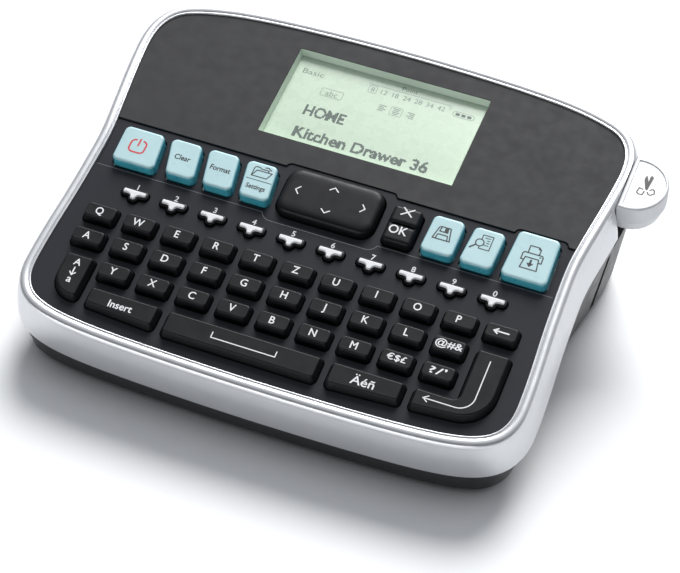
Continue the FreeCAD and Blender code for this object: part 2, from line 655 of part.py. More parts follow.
def make_number_keys():
    """Ten small T-shaped keys; bar on top, wider skirt below."""
    keys = []
    for x in number_spots():
        outline = number_outline(x)
        skirt = polygon_block(outline, 0, size("flange_top") - 0.05, 0.9)
        bar = polygon_block(outline, -0.75, 0.8, 1.5)
        under = key_under(outline, x, size("number_row_v"), 0)
        keys.append(skirt.fuse([bar, under[0], under[2]]))
    return keep(Part.makeCompound(keys), "number_keys", KEY_DECK)


def make_navigation_pad():
    """Four-way pad, slightly domed, rocking on its pivot."""
    x0, x1, v0, v1 = NAV
    outline = rectangle(x0, x1, v0, v1, 4.0)
    wires = [rounded_polygon(outline, grow, z)
             for grow, z in ((0.0, -1.6), (0.0, 0.4), (-0.35, 1.6), (-0.8, 2.3), (-1.6, 2.6))]
    pad = Part.makeLoft(wires, True, True)
    middle = ((x0 + x1) / 2, (v0 + v1) / 2)
    ears = [box(middle[0] + s * 1.5 - 0.5, middle[0] + s * 1.5 + 0.5, middle[1] - 0.9, middle[1] + 0.9,
                -3.3, -1.5) for s in (-1, 1)]
    feet = [cylinder(middle[0] + dx, middle[1] + dv, -3.8, 1.0, 2.3)
            for dx, dv in ((-9.5, 0), (9.5, 0), (0, -4.6), (0, 4.6))]
    pad = pad.fuse(ears + feet)
    bore = cylinder(middle[0] - 5, middle[1], -2.5, 0.5, 10, (1, 0, 0))
    pad = pad.cut(bore)
    return keep(pad.removeSplitter(), "navigation_pad", KEY_DECK)


def make_navigation_pivot():
    """Cross-shaped pivot: one pin along x carries the pad, one along v sits in the board saddle."""
    mx, mv = (NAV[0] + NAV[1]) / 2, (NAV[2] + NAV[3]) / 2
    hub = box(mx - 0.8, mx + 0.8, mv - 1.6, mv + 1.6, -3.3, -1.9)
    across = cylinder(mx - 2.2, mv, -2.5, 0.45, 4.4, (1, 0, 0))
    along = cylinder(mx, mv - 2.8, -2.9, 0.45, 5.6, (0, 1, 0))
    return keep(hub.fuse([across, along]), "navigation_pivot", KEY_DECK)


def make_rocker():
    """Cancel and OK on one rocker with a crease between them."""
    x0, x1, v0, v1 = ROCKER
    outline = rectangle(x0, x1, v0, v1, 1.6)
    body = Part.makeLoft([rounded_polygon(outline, grow, z)
                          for grow, z in ((0, -1.9), (0, 1.0), (-0.45, 2.2), (-1.0, 2.6))], True, True)
    mv = (v0 + v1) / 2
    crease = Part.makePolygon([Vector(x0 - 1, mv - 1.1, 3.0), Vector(x0 - 1, mv, 2.0),
                               Vector(x0 - 1, mv + 1.1, 3.0), Vector(x0 - 1, mv - 1.1, 3.0)])
    body = body.cut(Part.Face(crease).extrude(Vector(x1 - x0 + 2, 0, 0)))
    mx = (x0 + x1) / 2
    lug = box(mx - 1.6, mx + 1.6, mv - 0.9, mv + 0.9, -3.6, -1.8)
    feet = [cylinder(mx, mv + dv, -3.9, 1.0, 2.1) for dv in (-4.4, 4.4)]
    body = body.fuse([lug] + feet).cut(cylinder(mx - 3, mv, -2.8, 0.5, 6, (1, 0, 0)))
    return keep(body.removeSplitter(), "cancel_ok_key", KEY_DECK)


# ---------------------------------------------------------------- electronics and power
def make_circuit_board():
    """Main board under the keys: contacts, chips, pivot saddles and the power inlet."""
    top = size("board_top")
    low = top - size("board_thick")
    outline = [(-58.0, -64.0, 4.0), (58.0, -64.0, 4.0), (61.8, -56.0, 3.0), (61.8, -1.5, 2.0),
               (-61.8, -1.5, 2.0), (-61.8, -56.0, 3.0)]
    board = polygon_block(outline, 0, low, top)
    parts = []
    mx, mv = (NAV[0] + NAV[1]) / 2, (NAV[2] + NAV[3]) / 2
    for dv in (-2.3, 2.3):                         # saddles for the navigation pivot
        saddle = box(mx - 1.2, mx + 1.2, mv + dv - 0.45, mv + dv + 0.45, top - 0.2, -2.3)
        parts.append(saddle.cut(cylinder(mx, mv - 4, -2.9, 0.5, 8, (0, 1, 0))))
    rx, rv = (ROCKER[0] + ROCKER[1]) / 2, (ROCKER[2] + ROCKER[3]) / 2
    for dx in (-2.3, 2.3):                         # saddles and pin for the rocker
        parts.append(box(rx + dx - 0.45, rx + dx + 0.45, rv - 1.0, rv + 1.0, top - 0.2, -2.2))
    parts.append(cylinder(rx - 2.75, rv, -2.8, 0.45, 5.5, (1, 0, 0)))
    chips = [(-10, -40, 14, 14, 1.6), (16, -44, 8, 10, 1.4), (-34, -30, 10, 6, 1.4), (34, -30, 7, 7, 1.4),
             (-44, -48, 5, 4, 2.4), (44, -12, 9, 5, 3.0), (6, -12, 16, 4, 3.2)]
    for x, v, w, d, high in chips:
        parts.append(box(x - w / 2, x + w / 2, v - d / 2, v + d / 2, low - high, low + 0.1))
    for x, v in ((-28, -52), (-22, -52), (28, -54)):
        parts.append(cylinder(x, v, low - 5.5, 2.4, 5.6))
    jack = box(-69.3, -55.5, INLET_V - 4.6, INLET_V + 4.6, -size("skirt_drop") - 5.0, low + 0.1)
    lug = box(-63.0, -55.5, INLET_V - 4.6, INLET_V + 4.6, low, top)
    jack = jack.fuse(lug).cut(cylinder(-70, INLET_V, -size("skirt_drop"), 3.1, 10.5, (1, 0, 0)))
    jack = jack.fuse(cylinder(-69, INLET_V, -size("skirt_drop"), 0.9, 10, (1, 0, 0)))
    board = board.fuse(parts + [jack])
    return keep(board.removeSplitter(), "circuit_board", KEY_DECK)


def make_battery_pack():
    """Two cells side by side in a shrink wrap with a contact block."""
    x0, x1, y0, y1 = BATTERY
    radius = size("cell_radius")
    middle = (x0 + x1) / 2
    wrap = rounded_block(x0 + 0.6, x1 - 0.6, y0 + 0.8, y1 - 3.4, 4.0, 22.4, 3.0)
    contact = box(middle - 9, middle + 9, y1 - 3.6, y1 - 0.8, 6.0, 18.0)
    pad = [box(middle + dx - 1.2, middle + dx + 1.2, y1 - 0.9, y1 - 0.5, 8.0, 16.0) for dx in (-6, -2, 2, 6)]
    groove = box(middle - 0.5, middle + 0.5, y0, y1 - 3.4, 21.4, 30)
    pack = wrap.cut(groove).fuse([contact] + pad)
    dent = [cylinder(middle + s * (radius + 2), y0 + 0.5, 13.2, 2.4, 0.7, (0, 1, 0)) for s in (-1, 1)]
    return keep(pack.cut(dent), "battery_pack")


def make_plate_body(label, corners, low, high, extra=()):
    """Flat moulded cover as a sketched pad with added pads; sizes along z are fixed by the floor."""
    body = doc.addObject("PartDesign::Body", label)
    body.Label = label
    plane = next(f for f in body.Origin.OriginFeatures if f.Role == "XY_Plane")
    feature = None
    for number, (points, z0, z1) in enumerate([(corners, low, high)] + list(extra)):
        sketch = body.newObject("Sketcher::SketchObject", "%s_outline_%d" % (label, number))
        sketch.AttachmentSupport = (plane, [""])
        sketch.MapMode = "FlatFace"
        sketch.AttachmentOffset = Placement(Vector(0, 0, z0), Rotation())
        count = len(points)
        for i in range(count):
            a, b = points[i], points[(i + 1) % count]
            sketch.addGeometry(Part.LineSegment(Vector(a[0], a[1], 0), Vector(b[0], b[1], 0)), False)
        for i in range(count):
            sketch.addConstraint(Sketcher.Constraint("Coincident", i, 2, (i + 1) % count, 1))
            sketch.addConstraint(Sketcher.Constraint("DistanceX", -1, 1, i, 1, points[i][0]))
            sketch.addConstraint(Sketcher.Constraint("DistanceY", -1, 1, i, 1, points[i][1]))
        feature = body.newObject("PartDesign::Pad", "%s_pad_%d" % (label, number))
        feature.Profile = sketch
        feature.Length = z1 - z0
        sketch.Visibility = False
        doc.recompute()
    body.Tip = feature
    return body


def make_battery_cover():
    """Sliding cover with side tongues and finger ribs, running in the channel of the floor."""
    x0, x1 = CHANNEL
    y0, y1 = BATTERY[2] - 1.7, 56.5
    low = size("floor_low")
    plate = [(x0 + 0.3, y0), (x1 - 0.3, y0), (x1 - 0.3, y1), (x0 + 0.3, y1)]
    tongues = [(x0 - 0.8, y0), (x1 + 0.8, y0), (x1 + 0.8, y1 - 4), (x0 - 0.8, y1 - 4)]
    extra = [(tongues, low + 0.75, low + 1.25)]
    for i in range(4):
        y = 46.0 + 2.0 * i
        extra.append(([(-47, y), (-31, y), (-31, y + 0.9), (-47, y + 0.9)], low - 0.35, low + 0.1))
    return make_plate_body("battery_cover", plate, low, low + 1.3, extra)


def make_cassette_door():
    """Hinged door over the cassette bay with ribs, a catch and a hinge barrel."""
    x0, x1, y0, y1 = DOOR
    low = size("floor_low")
    plate = box(x0 + 0.35, x1 - 0.35, y0 + 0.35, y1 - 0.35, low, low + 1.7)
    ribs = [box(x, x + 1.2, y0 + 6, y1 - 6, low + 1.6, low + 2.4) for x in (-4.0, 14.5, 33.0)]
    barrel = cylinder(x0 + 6.4, HINGE_Y, HINGE_Z, 1.6, x1 - x0 - 12.8, (1, 0, 0))
    web = box(x0 + 6.4, x1 - 6.4, y1 - 1.5, HINGE_Y, low, low + 1.7)
    catch = box((x0 + x1) / 2 - 7, (x0 + x1) / 2 + 7, y0 + 0.35, y0 + 1.7, low + 1.6, low + 4.2)
    nib = box((x0 + x1) / 2 - 5, (x0 + x1) / 2 + 5, y0 - 0.4, y0 + 0.6, low + 2.8, low + 3.6)
    door = plate.fuse(ribs + [barrel, web, catch, nib])
    door = door.cut(cylinder(x0, HINGE_Y, HINGE_Z, 0.8, x1 - x0, (1, 0, 0)))
    nail = rounded_block((x0 + x1) / 2 - 8, (x0 + x1) / 2 + 8, y0 + 3.0, y0 + 6.0, low - 1, low + 0.7, 1.2)
    return keep(door.cut(nail).removeSplitter(), "cassette_door")


# ---------------------------------------------------------------- tape, printing and cutting
def make_tape_cassette():
    """Cassette body with two hub windows, label recess and the free end of the tape."""
    x0, x1, y0, y1 = DOOR[0] + 1.0, 43.5, DOOR[2] + 2.0, DOOR[3] - 1.0
    low, high = 4.3, 27.6
    body = rounded_block(x0, x1, y0, y1, low, high, 3.0)
    body = body.cut(box(30, x1 + 1, y0 - 1, 22.6, low - 1, high + 1))
    step = box(x0 - 1, x1 + 1, y0 - 1, y1 + 1, high - 1.2, high + 1).cut(
        rounded_block(x0 + 1.2, 29.0, y0 + 1.2, y1 - 1.2, high - 2, high + 2, 2.5).fuse(
            rounded_block(14.0, x1 - 1.2, 23.8, y1 - 1.2, high - 2, high + 2, 2.5)))
    body = body.cut(step)
    cuts = []
    for x, y, radius in ((0.5, 33.0, 6.5), (29.0, 40.0, 4.5)):
        cuts.append(cylinder(x, y, low - 1, radius, 6.0).cut(cylinder(x, y, low - 1, radius - 2.2, 6.0)))
        for turn in range(6):
            tooth = box(-0.6, 0.6, 0, radius - 2.6, -1, 4.0)
            tooth.Placement = Placement(Vector(x, y, low), Rotation(Vector(0, 0, 1), 60 * turn))
            cuts.append(tooth)
    body = body.cut(cuts)
    tail_y = size("tape_y")
    tail = box(x1 - 1, 65.7, tail_y - 0.15, tail_y + 0.15, 5.6, 24.6)
    return keep(body.fuse(tail), "tape_cassette")


def make_print_head():
    """Thermal head: ceramic bar on a finned heat sink with a ribbon connector."""
    y = size("tape_y") - 0.4
    bar = box(50.2, 56.2, y - 1.2, y, 5.0, 26.0)
    sink = box(49.6, 56.8, 17.6, y - 1.1, 4.4, 26.8)
    foot = box(49.6, 56.8, 15.1, 17.8, 6.0, 24.0)
    fins = [box(x, x + 0.8, 15.1, 18.0, 4.4, 26.8) for x in (49.6, 52.8, 56.0)]
    connector = box(51.0, 55.4, 16.4, 20.6, 26.7, 29.0)
    return keep(bar.fuse([sink, foot, connector] + fins).removeSplitter(), "print_head")


def make_platen_roller():
    """Rubber roller on a steel shaft with a drive flat at the top."""
    body = doc.addObject("Part::Cylinder", "platen_rubber")
    bind(body, "Radius", "roller_radius")
    body.Height = 20.6
    body.Placement.Base = Vector(53, 28.9, 5.4)
    shaft = doc.addObject("Part::Cylinder", "platen_shaft")
    bind(shaft, "Radius", "shaft_radius")
    shaft.Height = 30.4
    shaft.Placement.Base = Vector(53, 28.9, 3.4)
    flat = doc.addObject("Part::Box", "platen_flat")
    flat.Length, flat.Width, flat.Height = 4, 2, 4.2
    flat.Placement.Base = Vector(51, 29.9, 29.7)
    keyed = doc.addObject("Part::Cut", "platen_keyed")
    keyed.Base, keyed.Tool = shaft, flat
    collar = doc.addObject("Part::Cylinder", "platen_collar")
    collar.Radius, collar.Height = 2.6, 1.2
    collar.Placement.Base = Vector(53, 28.9, 26.3)
    roller = doc.addObject("Part::MultiFuse", "platen_roller")
    roller.Label = "platen_roller"
    roller.Shapes = [body, keyed, collar]
    return roller


def make_drive_motor():
    """Flat gear motor on a bracket whose legs stand on the floor of the base."""
    can = cylinder(53, 28.9, 29.4, 9.4, 9.4)
    cap = cylinder(53, 28.9, 38.7, 7.0, 1.2)
    plate = rounded_block(45.2, 63.0, 24.0, 41.2, 28.2, 29.5, 1.5)
    arm = [box(46.0, 49.0, 38.3, 40.8, 3.25, 28.4), box(59.4, 62.4, 38.3, 40.8, 3.25, 28.4)]
    ears = [box(42.6, 44.2, 26.0, 31.8, 30.0, 36.0), box(61.8, 63.4, 26.0, 31.8, 30.0, 36.0)]
    motor = can.fuse([cap, plate, ears[0].fuse(box(43.8, 46, 26.0, 31.8, 31.5, 34.5)),
                      ears[1].fuse(box(60.0, 62.2, 26.0, 31.8, 31.5, 34.5))] + arm)
    bore = cylinder(53, 28.9, 25, size("shaft_radius") + 0.05, 9.2)
    return keep(motor.cut(bore).removeSplitter(), "drive_motor")


def make_cutter_button():
    """Half-round push button beside the display with the arm that works the blade."""
    x, v, radius = size("cutter_x"), size("cutter_v"), size("cutter_radius")
    flat, arm_v = size("cutter_flat_x"), size("cutter_arm_v")
    drum = cylinder(x, v, -5.2, radius, 6.2)
    taper = Part.makeCone(radius - 1.3, radius, 4.1, Vector(x, v, -9.3))
    cap = drum.fuse(taper).common(box(flat, 100, 0, 60, -20, 20)).removeSplitter()
    rim = [e for e in cap.Edges if e.BoundBox.ZMin > 0.9]
    cap = cap.makeFillet(0.6, rim)
    dish = cylinder(x + 0.6, v, 0.75, radius - 1.4, 1).common(box(flat + 1.2, 100, 0, 60, -20, 20))
    cap = cap.cut(dish)
    stem = box(flat, flat + 3.2, arm_v + 2.4, arm_v + 7.6, -11.6, -9.0)
    arm = box(64.6, flat + 3.2, arm_v + 2.4, arm_v + 7.6, -11.6, -8.8)
    foot = box(65.4, 68.0, arm_v + 3.2, arm_v + 4.8, -15.4, -11.4)
    return keep(cap.fuse([stem, arm, foot]).removeSplitter(), "cutter_button", DISPLAY_DECK)


def make_cutter_blade():
    """Bell-crank blade: hanging edge in front, pushed arm behind the pivot."""
    py, pz = size("pivot_y"), size("pivot_z")
    blade = ((26.0, 28.6), (25.4, 25.4), (28.0, 4.4), (31.0, 4.4), (31.4, 26.0),
             (39.8, 28.6), (39.8, 31.6), (36.4, 31.9), (30.0, 33.6), (26.0, 33.4))
    edge = [Vector(66.1, y, z) for y, z in blade]
    plate = Part.Face(Part.makePolygon(edge + [edge[0]])).extrude(Vector(1.1, 0, 0))
    blade = plate.fuse(cylinder(65.8, py, pz, 2.5, 1.5, (1, 0, 0)))
    return keep(blade.cut(cylinder(60, py, pz, 1.25, 12, (1, 0, 0))).removeSplitter(), "cutter_blade")


# ---------------------------------------------------------------- fasteners and feet
def make_screws():
    """Six identical case screws with cross recesses."""
    screws = []
    for x, v in SCREW_SPOTS:
        for side in (-1, 1):
            seat = screw_meet(v) - 3
            y = screw_y(v)
            head = cylinder(side * x, y, seat - size("screw_head_high"), size("screw_head") / 2,
                            size("screw_head_high"))
            shank = cylinder(side * x, y, seat - 0.1, size("screw_shank") / 2, size("screw_length") + 0.1)
            cross = [box(side * x - 1.5, side * x + 1.5, y - 0.35, y + 0.35, 0, seat - 1.1),
                     box(side * x - 0.35, side * x + 0.35, y - 1.5, y + 1.5, 0, seat - 1.1)]
            screws.append(head.fuse(shank).cut(cross))
    return keep(Part.makeCompound(screws), "case_screws")


def make_feet():
    feet = doc.addObject("Part::Compound", "rubber_feet")
    links = []
    for number, (x, y) in enumerate(FEET):
        foot = doc.addObject("Part::Cylinder", "foot_%d" % number)
        bind(foot, "Radius", "foot_radius")
        bind(foot, "Height", "foot_high")
        foot.Placement.Base = Vector(x, y, 0)
        links.append(foot)
    feet.Label = "rubber_feet"
    feet.Links = links
    return feet


# ---------------------------------------------------------------- build
nodes = [make_base_shell(), make_top_bezel(), make_face_plate(), make_display_panel(), make_lcd_module(),
         make_circuit_board(), make_battery_pack(), make_battery_cover(), make_cassette_door(),
         make_tape_cassette(), make_print_head(), make_platen_roller(), make_drive_motor(),
         make_cutter_button(), make_cutter_blade(), make_screws(), make_feet(),
         make_navigation_pad(), make_navigation_pivot(), make_rocker(), make_number_keys()]
nodes += [make_function_key(name) for name in FUNCTION_KEYS]
nodes += [make_wide_key(name) for name in WIDE_KEYS]
nodes += [make_letter_key("key_" + letter, [spot]) for letter, spot in letter_spots().items()]
nodes.append(make_letter_key("symbol_keys", [(c * COLUMN, row_v(r)) for c, r in SYMBOLS]))
doc.recompute()

for thing in doc.Objects:
    state = list(thing.State)
    if "Invalid" in state or "Error" in state:
        raise RuntimeError("%s did not recompute: %s" % (thing.Name, state))
os.makedirs("parts", exist_ok=True)
for node in nodes:
    if node.Shape.isNull() or not node.Shape.isValid():
        raise RuntimeError("%s has no sound shape" % node.Label)
    node.Shape.exportStep("parts/%s.step" % node.Label)
print(len(nodes), "sub-parts written")
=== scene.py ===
import bmesh
import bpy
import json
import math
import numpy as np
from mathutils import Matrix, Vector


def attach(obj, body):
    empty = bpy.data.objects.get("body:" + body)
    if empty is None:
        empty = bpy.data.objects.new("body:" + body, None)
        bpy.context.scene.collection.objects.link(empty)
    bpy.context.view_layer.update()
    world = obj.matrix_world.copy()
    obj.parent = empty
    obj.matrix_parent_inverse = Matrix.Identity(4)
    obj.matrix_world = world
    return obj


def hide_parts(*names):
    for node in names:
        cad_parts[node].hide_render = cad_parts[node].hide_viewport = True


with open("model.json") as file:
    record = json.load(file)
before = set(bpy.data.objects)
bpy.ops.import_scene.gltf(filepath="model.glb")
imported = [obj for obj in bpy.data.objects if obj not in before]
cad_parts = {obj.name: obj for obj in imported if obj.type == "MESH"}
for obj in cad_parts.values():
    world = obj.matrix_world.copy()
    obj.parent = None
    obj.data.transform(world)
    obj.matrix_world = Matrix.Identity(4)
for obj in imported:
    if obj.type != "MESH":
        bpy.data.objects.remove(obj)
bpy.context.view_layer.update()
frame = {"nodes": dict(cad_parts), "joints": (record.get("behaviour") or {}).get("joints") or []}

# Desktop label maker.  Lengths below are millimetres unless a name says otherwise; every mesh is
# written in metres in the frame's own axes.  The two decks of the case meet in a ridge: a place on a
# deck is (x, v, h), v up the slope from the ridge and h above the surface.
MM = 0.001
NODES = frame["nodes"]
JOINTS = {joint["name"]: joint for joint in frame["joints"]}


def deck_turn(joint):
    """Slope of the deck a key or button is pressed into, from its joint axis."""
    axis = JOINTS[joint]["axis"]
    return math.atan2(axis[1], -axis[2])


RIDGE = Vector((0, 5.2, 40.7))          # middle of the ridge, in world millimetres
KEY_SLOPE = deck_turn("print_key_press")
PANEL_SLOPE = deck_turn("cutter_press")


def deck(slope):
    return Matrix.Scale(MM, 4) @ Matrix.Translation(RIDGE) @ Matrix.Rotation(slope, 4, "X")


KEY_DECK = deck(KEY_SLOPE)
PANEL = deck(PANEL_SLOPE)
WORLD = Matrix.Scale(MM, 4)


TOP_BAND = 0.3          # how far below a node's highest point still counts as its top


def middle_of(node):
    """(x, v) of the middle of a node's top on the key deck."""
    flat = [KEY_DECK.inverted() @ v.co for v in NODES[node].data.vertices]
    top = max(p.z for p in flat)
    spots = [p for p in flat if p.z > top - TOP_BAND]
    xs, vs = [p.x for p in spots], [p.y for p in spots]
    return (min(xs) + max(xs)) / 2, (min(vs) + max(vs)) / 2


def linked(name, data):
    """New object with this data, in the scene."""
    thing = bpy.data.objects.new(name, data)
    bpy.context.scene.collection.objects.link(thing)
    return thing


# ---------------------------------------------------------------- materials
def new_material(name):
    mat = bpy.data.materials.new(name)
    mat.use_nodes = True
    tree = mat.node_tree
    return mat, tree, tree.nodes["Principled BSDF"]


def noise(tree, scale, detail=3.0, rough=0.5):
    """Noise in the object's own coordinates; scale counts per metre."""
    where = tree.nodes.new("ShaderNodeTexCoord")
    node = tree.nodes.new("ShaderNodeTexNoise")
    node.inputs["Scale"].default_value = scale
    node.inputs["Detail"].default_value = detail
    node.inputs["Roughness"].default_value = rough
    tree.links.new(where.outputs["Object"], node.inputs["Vector"])
    return node.outputs["Fac"]


def ranged(tree, value, low, high, start=0.3, end=0.7):
    node = tree.nodes.new("ShaderNodeMapRange")
    node.inputs["From Min"].default_value = start
    node.inputs["From Max"].default_value = end
    node.inputs["To Min"].default_value = low
    node.inputs["To Max"].default_value = high
    tree.links.new(value, node.inputs["Value"])
    return node.outputs["Result"]


def mixed(tree, factor, one, two):
    node = tree.nodes.new("ShaderNodeMix")
    node.data_type = "RGBA"
    for socket, colour in (("A_Color", one), ("B_Color", two)):
        slot = next(s for s in node.inputs if s.identifier == socket)
        if isinstance(colour, bpy.types.NodeSocket):
            tree.links.new(colour, slot)
        else:
            slot.default_value = (*colour, 1)
    tree.links.new(factor, next(s for s in node.inputs if s.identifier == "Factor_Float"))
    return next(s for s in node.outputs if s.identifier == "Result_Color")


def relief(tree, shader, heights, bevel=0.0):
    """Bump from (height output, strength, distance) layers over softened edges."""
    normal = None
    if bevel:
        soft = tree.nodes.new("ShaderNodeBevel")
        soft.samples = 4
        soft.inputs["Radius"].default_value = bevel * MM
        normal = soft.outputs["Normal"]
    for height, strength, distance in heights:
        bump = tree.nodes.new("ShaderNodeBump")
        bump.inputs["Strength"].default_value = strength
        bump.inputs["Distance"].default_value = distance * MM
        tree.links.new(height, bump.inputs["Height"])
        if normal is not None:
            tree.links.new(normal, bump.inputs["Normal"])
        normal = bump.outputs["Normal"]
    tree.links.new(normal, shader.inputs["Normal"])


def moulded(name, colour, rough, vary=0.05, grain=2600.0, depth=0.03, bevel=0.25, metallic=0.0,
            coat=0.0, coat_rough=0.15, specular=0.5, swing=0.06, cloud=55.0):
    """Moulded plastic, rubber, paint or metal: clouded colour, uneven gloss, fine grain."""
    mat, tree, shader = new_material(name)
    dark = tuple(c * (1 - vary) for c in colour)
    light = tuple(min(1.0, c * (1 + vary)) for c in colour)
    tone = ranged(tree, noise(tree, cloud, 5.0, 0.6), 0.0, 1.0)
    tree.links.new(mixed(tree, tone, dark, light), shader.inputs["Base Color"])
    gloss = ranged(tree, noise(tree, cloud * 5, 3.0), rough - swing, rough + swing)
    tree.links.new(gloss, shader.inputs["Roughness"])
    shader.inputs["Metallic"].default_value = metallic
    shader.inputs["Coat Weight"].default_value = coat
    shader.inputs["Coat Roughness"].default_value = coat_rough
    shader.inputs["Specular IOR Level"].default_value = specular
    relief(tree, shader, [(noise(tree, grain, 2.0), 0.35, depth)], bevel)
    return mat


def facing_up(tree, slope):
    """1 where a surface faces straight out of the deck, 0 where it stands upright on it."""
    where = tree.nodes.new("ShaderNodeTexCoord")
    turn = tree.nodes.new("ShaderNodeVectorMath")
    turn.operation = "DOT_PRODUCT"
    turn.inputs[1].default_value = (0, -math.sin(slope), math.cos(slope))
    tree.links.new(where.outputs["Normal"], turn.inputs[0])
    return turn.outputs["Value"]


def function_key_plastic():
    """Translucent pale blue plastic, with painted light and shade: the top painted lighter, the upright sides
    painted darker and greener.
    """
    mat, tree, shader = new_material("function_key_plastic")
    # painted light: how far the lit top colour takes over, from how squarely the surface faces out of the
    # deck
    up = ranged(tree, facing_up(tree, KEY_SLOPE), 0.0, 1.0, 0.15, 0.93)
    tone = mixed(tree, ranged(tree, noise(tree, 90.0, 4.0), 0.0, 1.0),
                 (0.47, 0.68, 0.71), (0.51, 0.72, 0.75))
    # painted shade: darker, greener colour for the sides that stand upright
    shaded_side = mixed(tree, ranged(tree, noise(tree, 240.0), 0.0, 1.0),
                 (0.05, 0.36, 0.46), (0.08, 0.43, 0.53))
    tree.links.new(mixed(tree, up, shaded_side, tone), shader.inputs["Base Color"])
    tree.links.new(ranged(tree, noise(tree, 400.0), 0.26, 0.36), shader.inputs["Roughness"])
    shader.inputs["Subsurface Weight"].default_value = 0.12
    shader.inputs["Subsurface Radius"].default_value = (0.4, 0.9, 1.0)
    shader.inputs["Subsurface Scale"].default_value = 0.0012
    relief(tree, shader, [(noise(tree, 3200.0), 0.25, 0.02)])
    return mat


def display_glass():
    """Pale green reflective display under a thin gloss."""
    mat, tree, shader = new_material("display_glass")
    tone = mixed(tree, ranged(tree, noise(tree, 30.0, 2.0), 0.0, 1.0),
                 (0.505, 0.64, 0.49), (0.53, 0.665, 0.515))
    tree.links.new(tone, shader.inputs["Base Color"])
    tree.links.new(ranged(tree, noise(tree, 300.0), 0.22, 0.34), shader.inputs["Roughness"])
    shader.inputs["Coat Weight"].default_value = 0.3
    shader.inputs["Coat Roughness"].default_value = 0.12
    relief(tree, shader, [(noise(tree, 2400.0), 0.08, 0.01)])
    return mat


PAINT = {"vary": 0.015, "grain": 5200.0, "depth": 0.006, "swing": 0.03}
INK = {"bevel": 0.0, "depth": 0.004}
SILVER = moulded("silver_paint", (0.66, 0.67, 0.69), 0.33, bevel=0.0, metallic=0.75, **PAINT)
BUTTON = moulded("button_paint", (0.63, 0.64, 0.655), 0.5, bevel=0.2, metallic=0.3, specular=0.3, **PAINT)
BLACK = moulded("black_case_plastic", (0.012, 0.012, 0.014), 0.42, bevel=0.3, depth=0.04)
PLATE = moulded("key_plate_plastic", (0.023, 0.024, 0.030), 0.52, bevel=0.2, depth=0.035, specular=0.14)
DARK_PANEL = moulded("display_panel_plastic", (0.036, 0.036, 0.038), 0.55, bevel=0.2, depth=0.03,
                     specular=0.15)
RUBBER = moulded("key_rubber", (0.0075, 0.0078, 0.010), 0.40, bevel=0.0, depth=0.02, grain=3800.0,
                 specular=0.2)
FOOT = moulded("foot_rubber", (0.02, 0.02, 0.021), 0.75, bevel=0.3, depth=0.05)
ROLLER = moulded("roller_rubber", (0.03, 0.03, 0.032), 0.7, bevel=0.15, depth=0.04)
STEEL = moulded("ground_steel", (0.55, 0.56, 0.58), 0.28, bevel=0.1, metallic=1.0, depth=0.01)
SCREW = moulded("zinc_screw", (0.48, 0.48, 0.47), 0.34, bevel=0.15, metallic=1.0, depth=0.01)
BOARD = moulded("circuit_green", (0.01, 0.07, 0.035), 0.4, bevel=0.1, depth=0.02)
CELL = moulded("cell_wrap", (0.10, 0.16, 0.30), 0.35, bevel=0.1, depth=0.01)
CASSETTE = moulded("cassette_plastic", (0.16, 0.165, 0.17), 0.45, bevel=0.25, depth=0.03)
CAP_WHITE = moulded("number_cap_white", (0.80, 0.81, 0.83), 0.38, vary=0.03, bevel=0.0, depth=0.015)
INK_WHITE = moulded("white_ink", (0.80, 0.81, 0.83), 0.5, vary=0.03, **INK)
INK_BLACK = moulded("black_ink", (0.012, 0.018, 0.022), 0.5, **INK)
# painted highlight: grey ink for the glint along the key plate's step edge
EDGE_GLINT_INK = moulded("painted_edge_highlight", (0.13, 0.135, 0.15), 0.3, **INK)
INK_RED = moulded("red_ink", (0.62, 0.04, 0.05), 0.5, **INK)
INK_BROWN = moulded("brown_ink", (0.035, 0.026, 0.022), 0.5, **INK)
# painted light: the rim's pale green is set lighter to offset the shadow that falls on the rim
LIGHTENED_RIM = moulded("display_rim_painted_light", (0.62, 0.74, 0.62), 0.5, bevel=0.0, depth=0.01)
LCD_DARK = moulded("lcd_dark_dots", (0.04, 0.075, 0.06), 0.4, **INK)
LCD_FAINT = moulded("lcd_printed_signs", (0.16, 0.24, 0.19), 0.4, **INK)
FUNCTION = function_key_plastic()
GLASS = display_glass()

NODE_FINISH = {
    "base_shell": BLACK, "top_bezel": SILVER, "face_plate": PLATE, "display_panel": DARK_PANEL,
    "lcd_module": GLASS, "circuit_board": BOARD, "battery_pack": CELL, "tape_cassette": CASSETTE,
    "print_head": STEEL, "drive_motor": STEEL, "case_screws": SCREW, "rubber_feet": FOOT,
    "cassette_door": BLACK, "battery_cover": BLACK, "cutter_button": BUTTON, "cutter_blade": STEEL,
    "platen_roller": ROLLER, "navigation_pivot": BLACK,
}
for node, thing in NODES.items():
    thing.data.materials.clear()
    thing.data.materials.append(NODE_FINISH.get(node, RUBBER))


# ---------------------------------------------------------------- meshes
KEY_SHARP, BEZEL_SHARP = 38.0, 50.0      # degrees between faces that still shade as one


def closed_mesh(name, verts, faces, place):
    """Mesh from points in deck or world coordinates, its normals turned outwards."""
    mesh = bpy.data.meshes.new(name)
    mesh.from_pydata([place @ Vector(v) for v in verts], [], faces)
    work = bmesh.new()
    work.from_mesh(mesh)
    bmesh.ops.recalc_face_normals(work, faces=work.faces)
    work.to_mesh(mesh)
    work.free()
    return mesh


def finished(name, verts, faces, place, body, materials, tints=None, sharp=KEY_SHARP):
    """A mesh piece, smooth but for its real edges."""
    mesh = closed_mesh(name, verts, faces, place)
    for mat in materials:
        mesh.materials.append(mat)
    if tints is not None:
        mesh.polygons.foreach_set("material_index", tints)
    mesh.shade_smooth()
    mesh.set_sharp_from_angle(angle=math.radians(sharp))
    thing = linked(name, mesh)
    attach(thing, body)
    return thing


def weighted(thing):
    thing.modifiers.new("face_normals", "WEIGHTED_NORMAL").keep_sharp = True


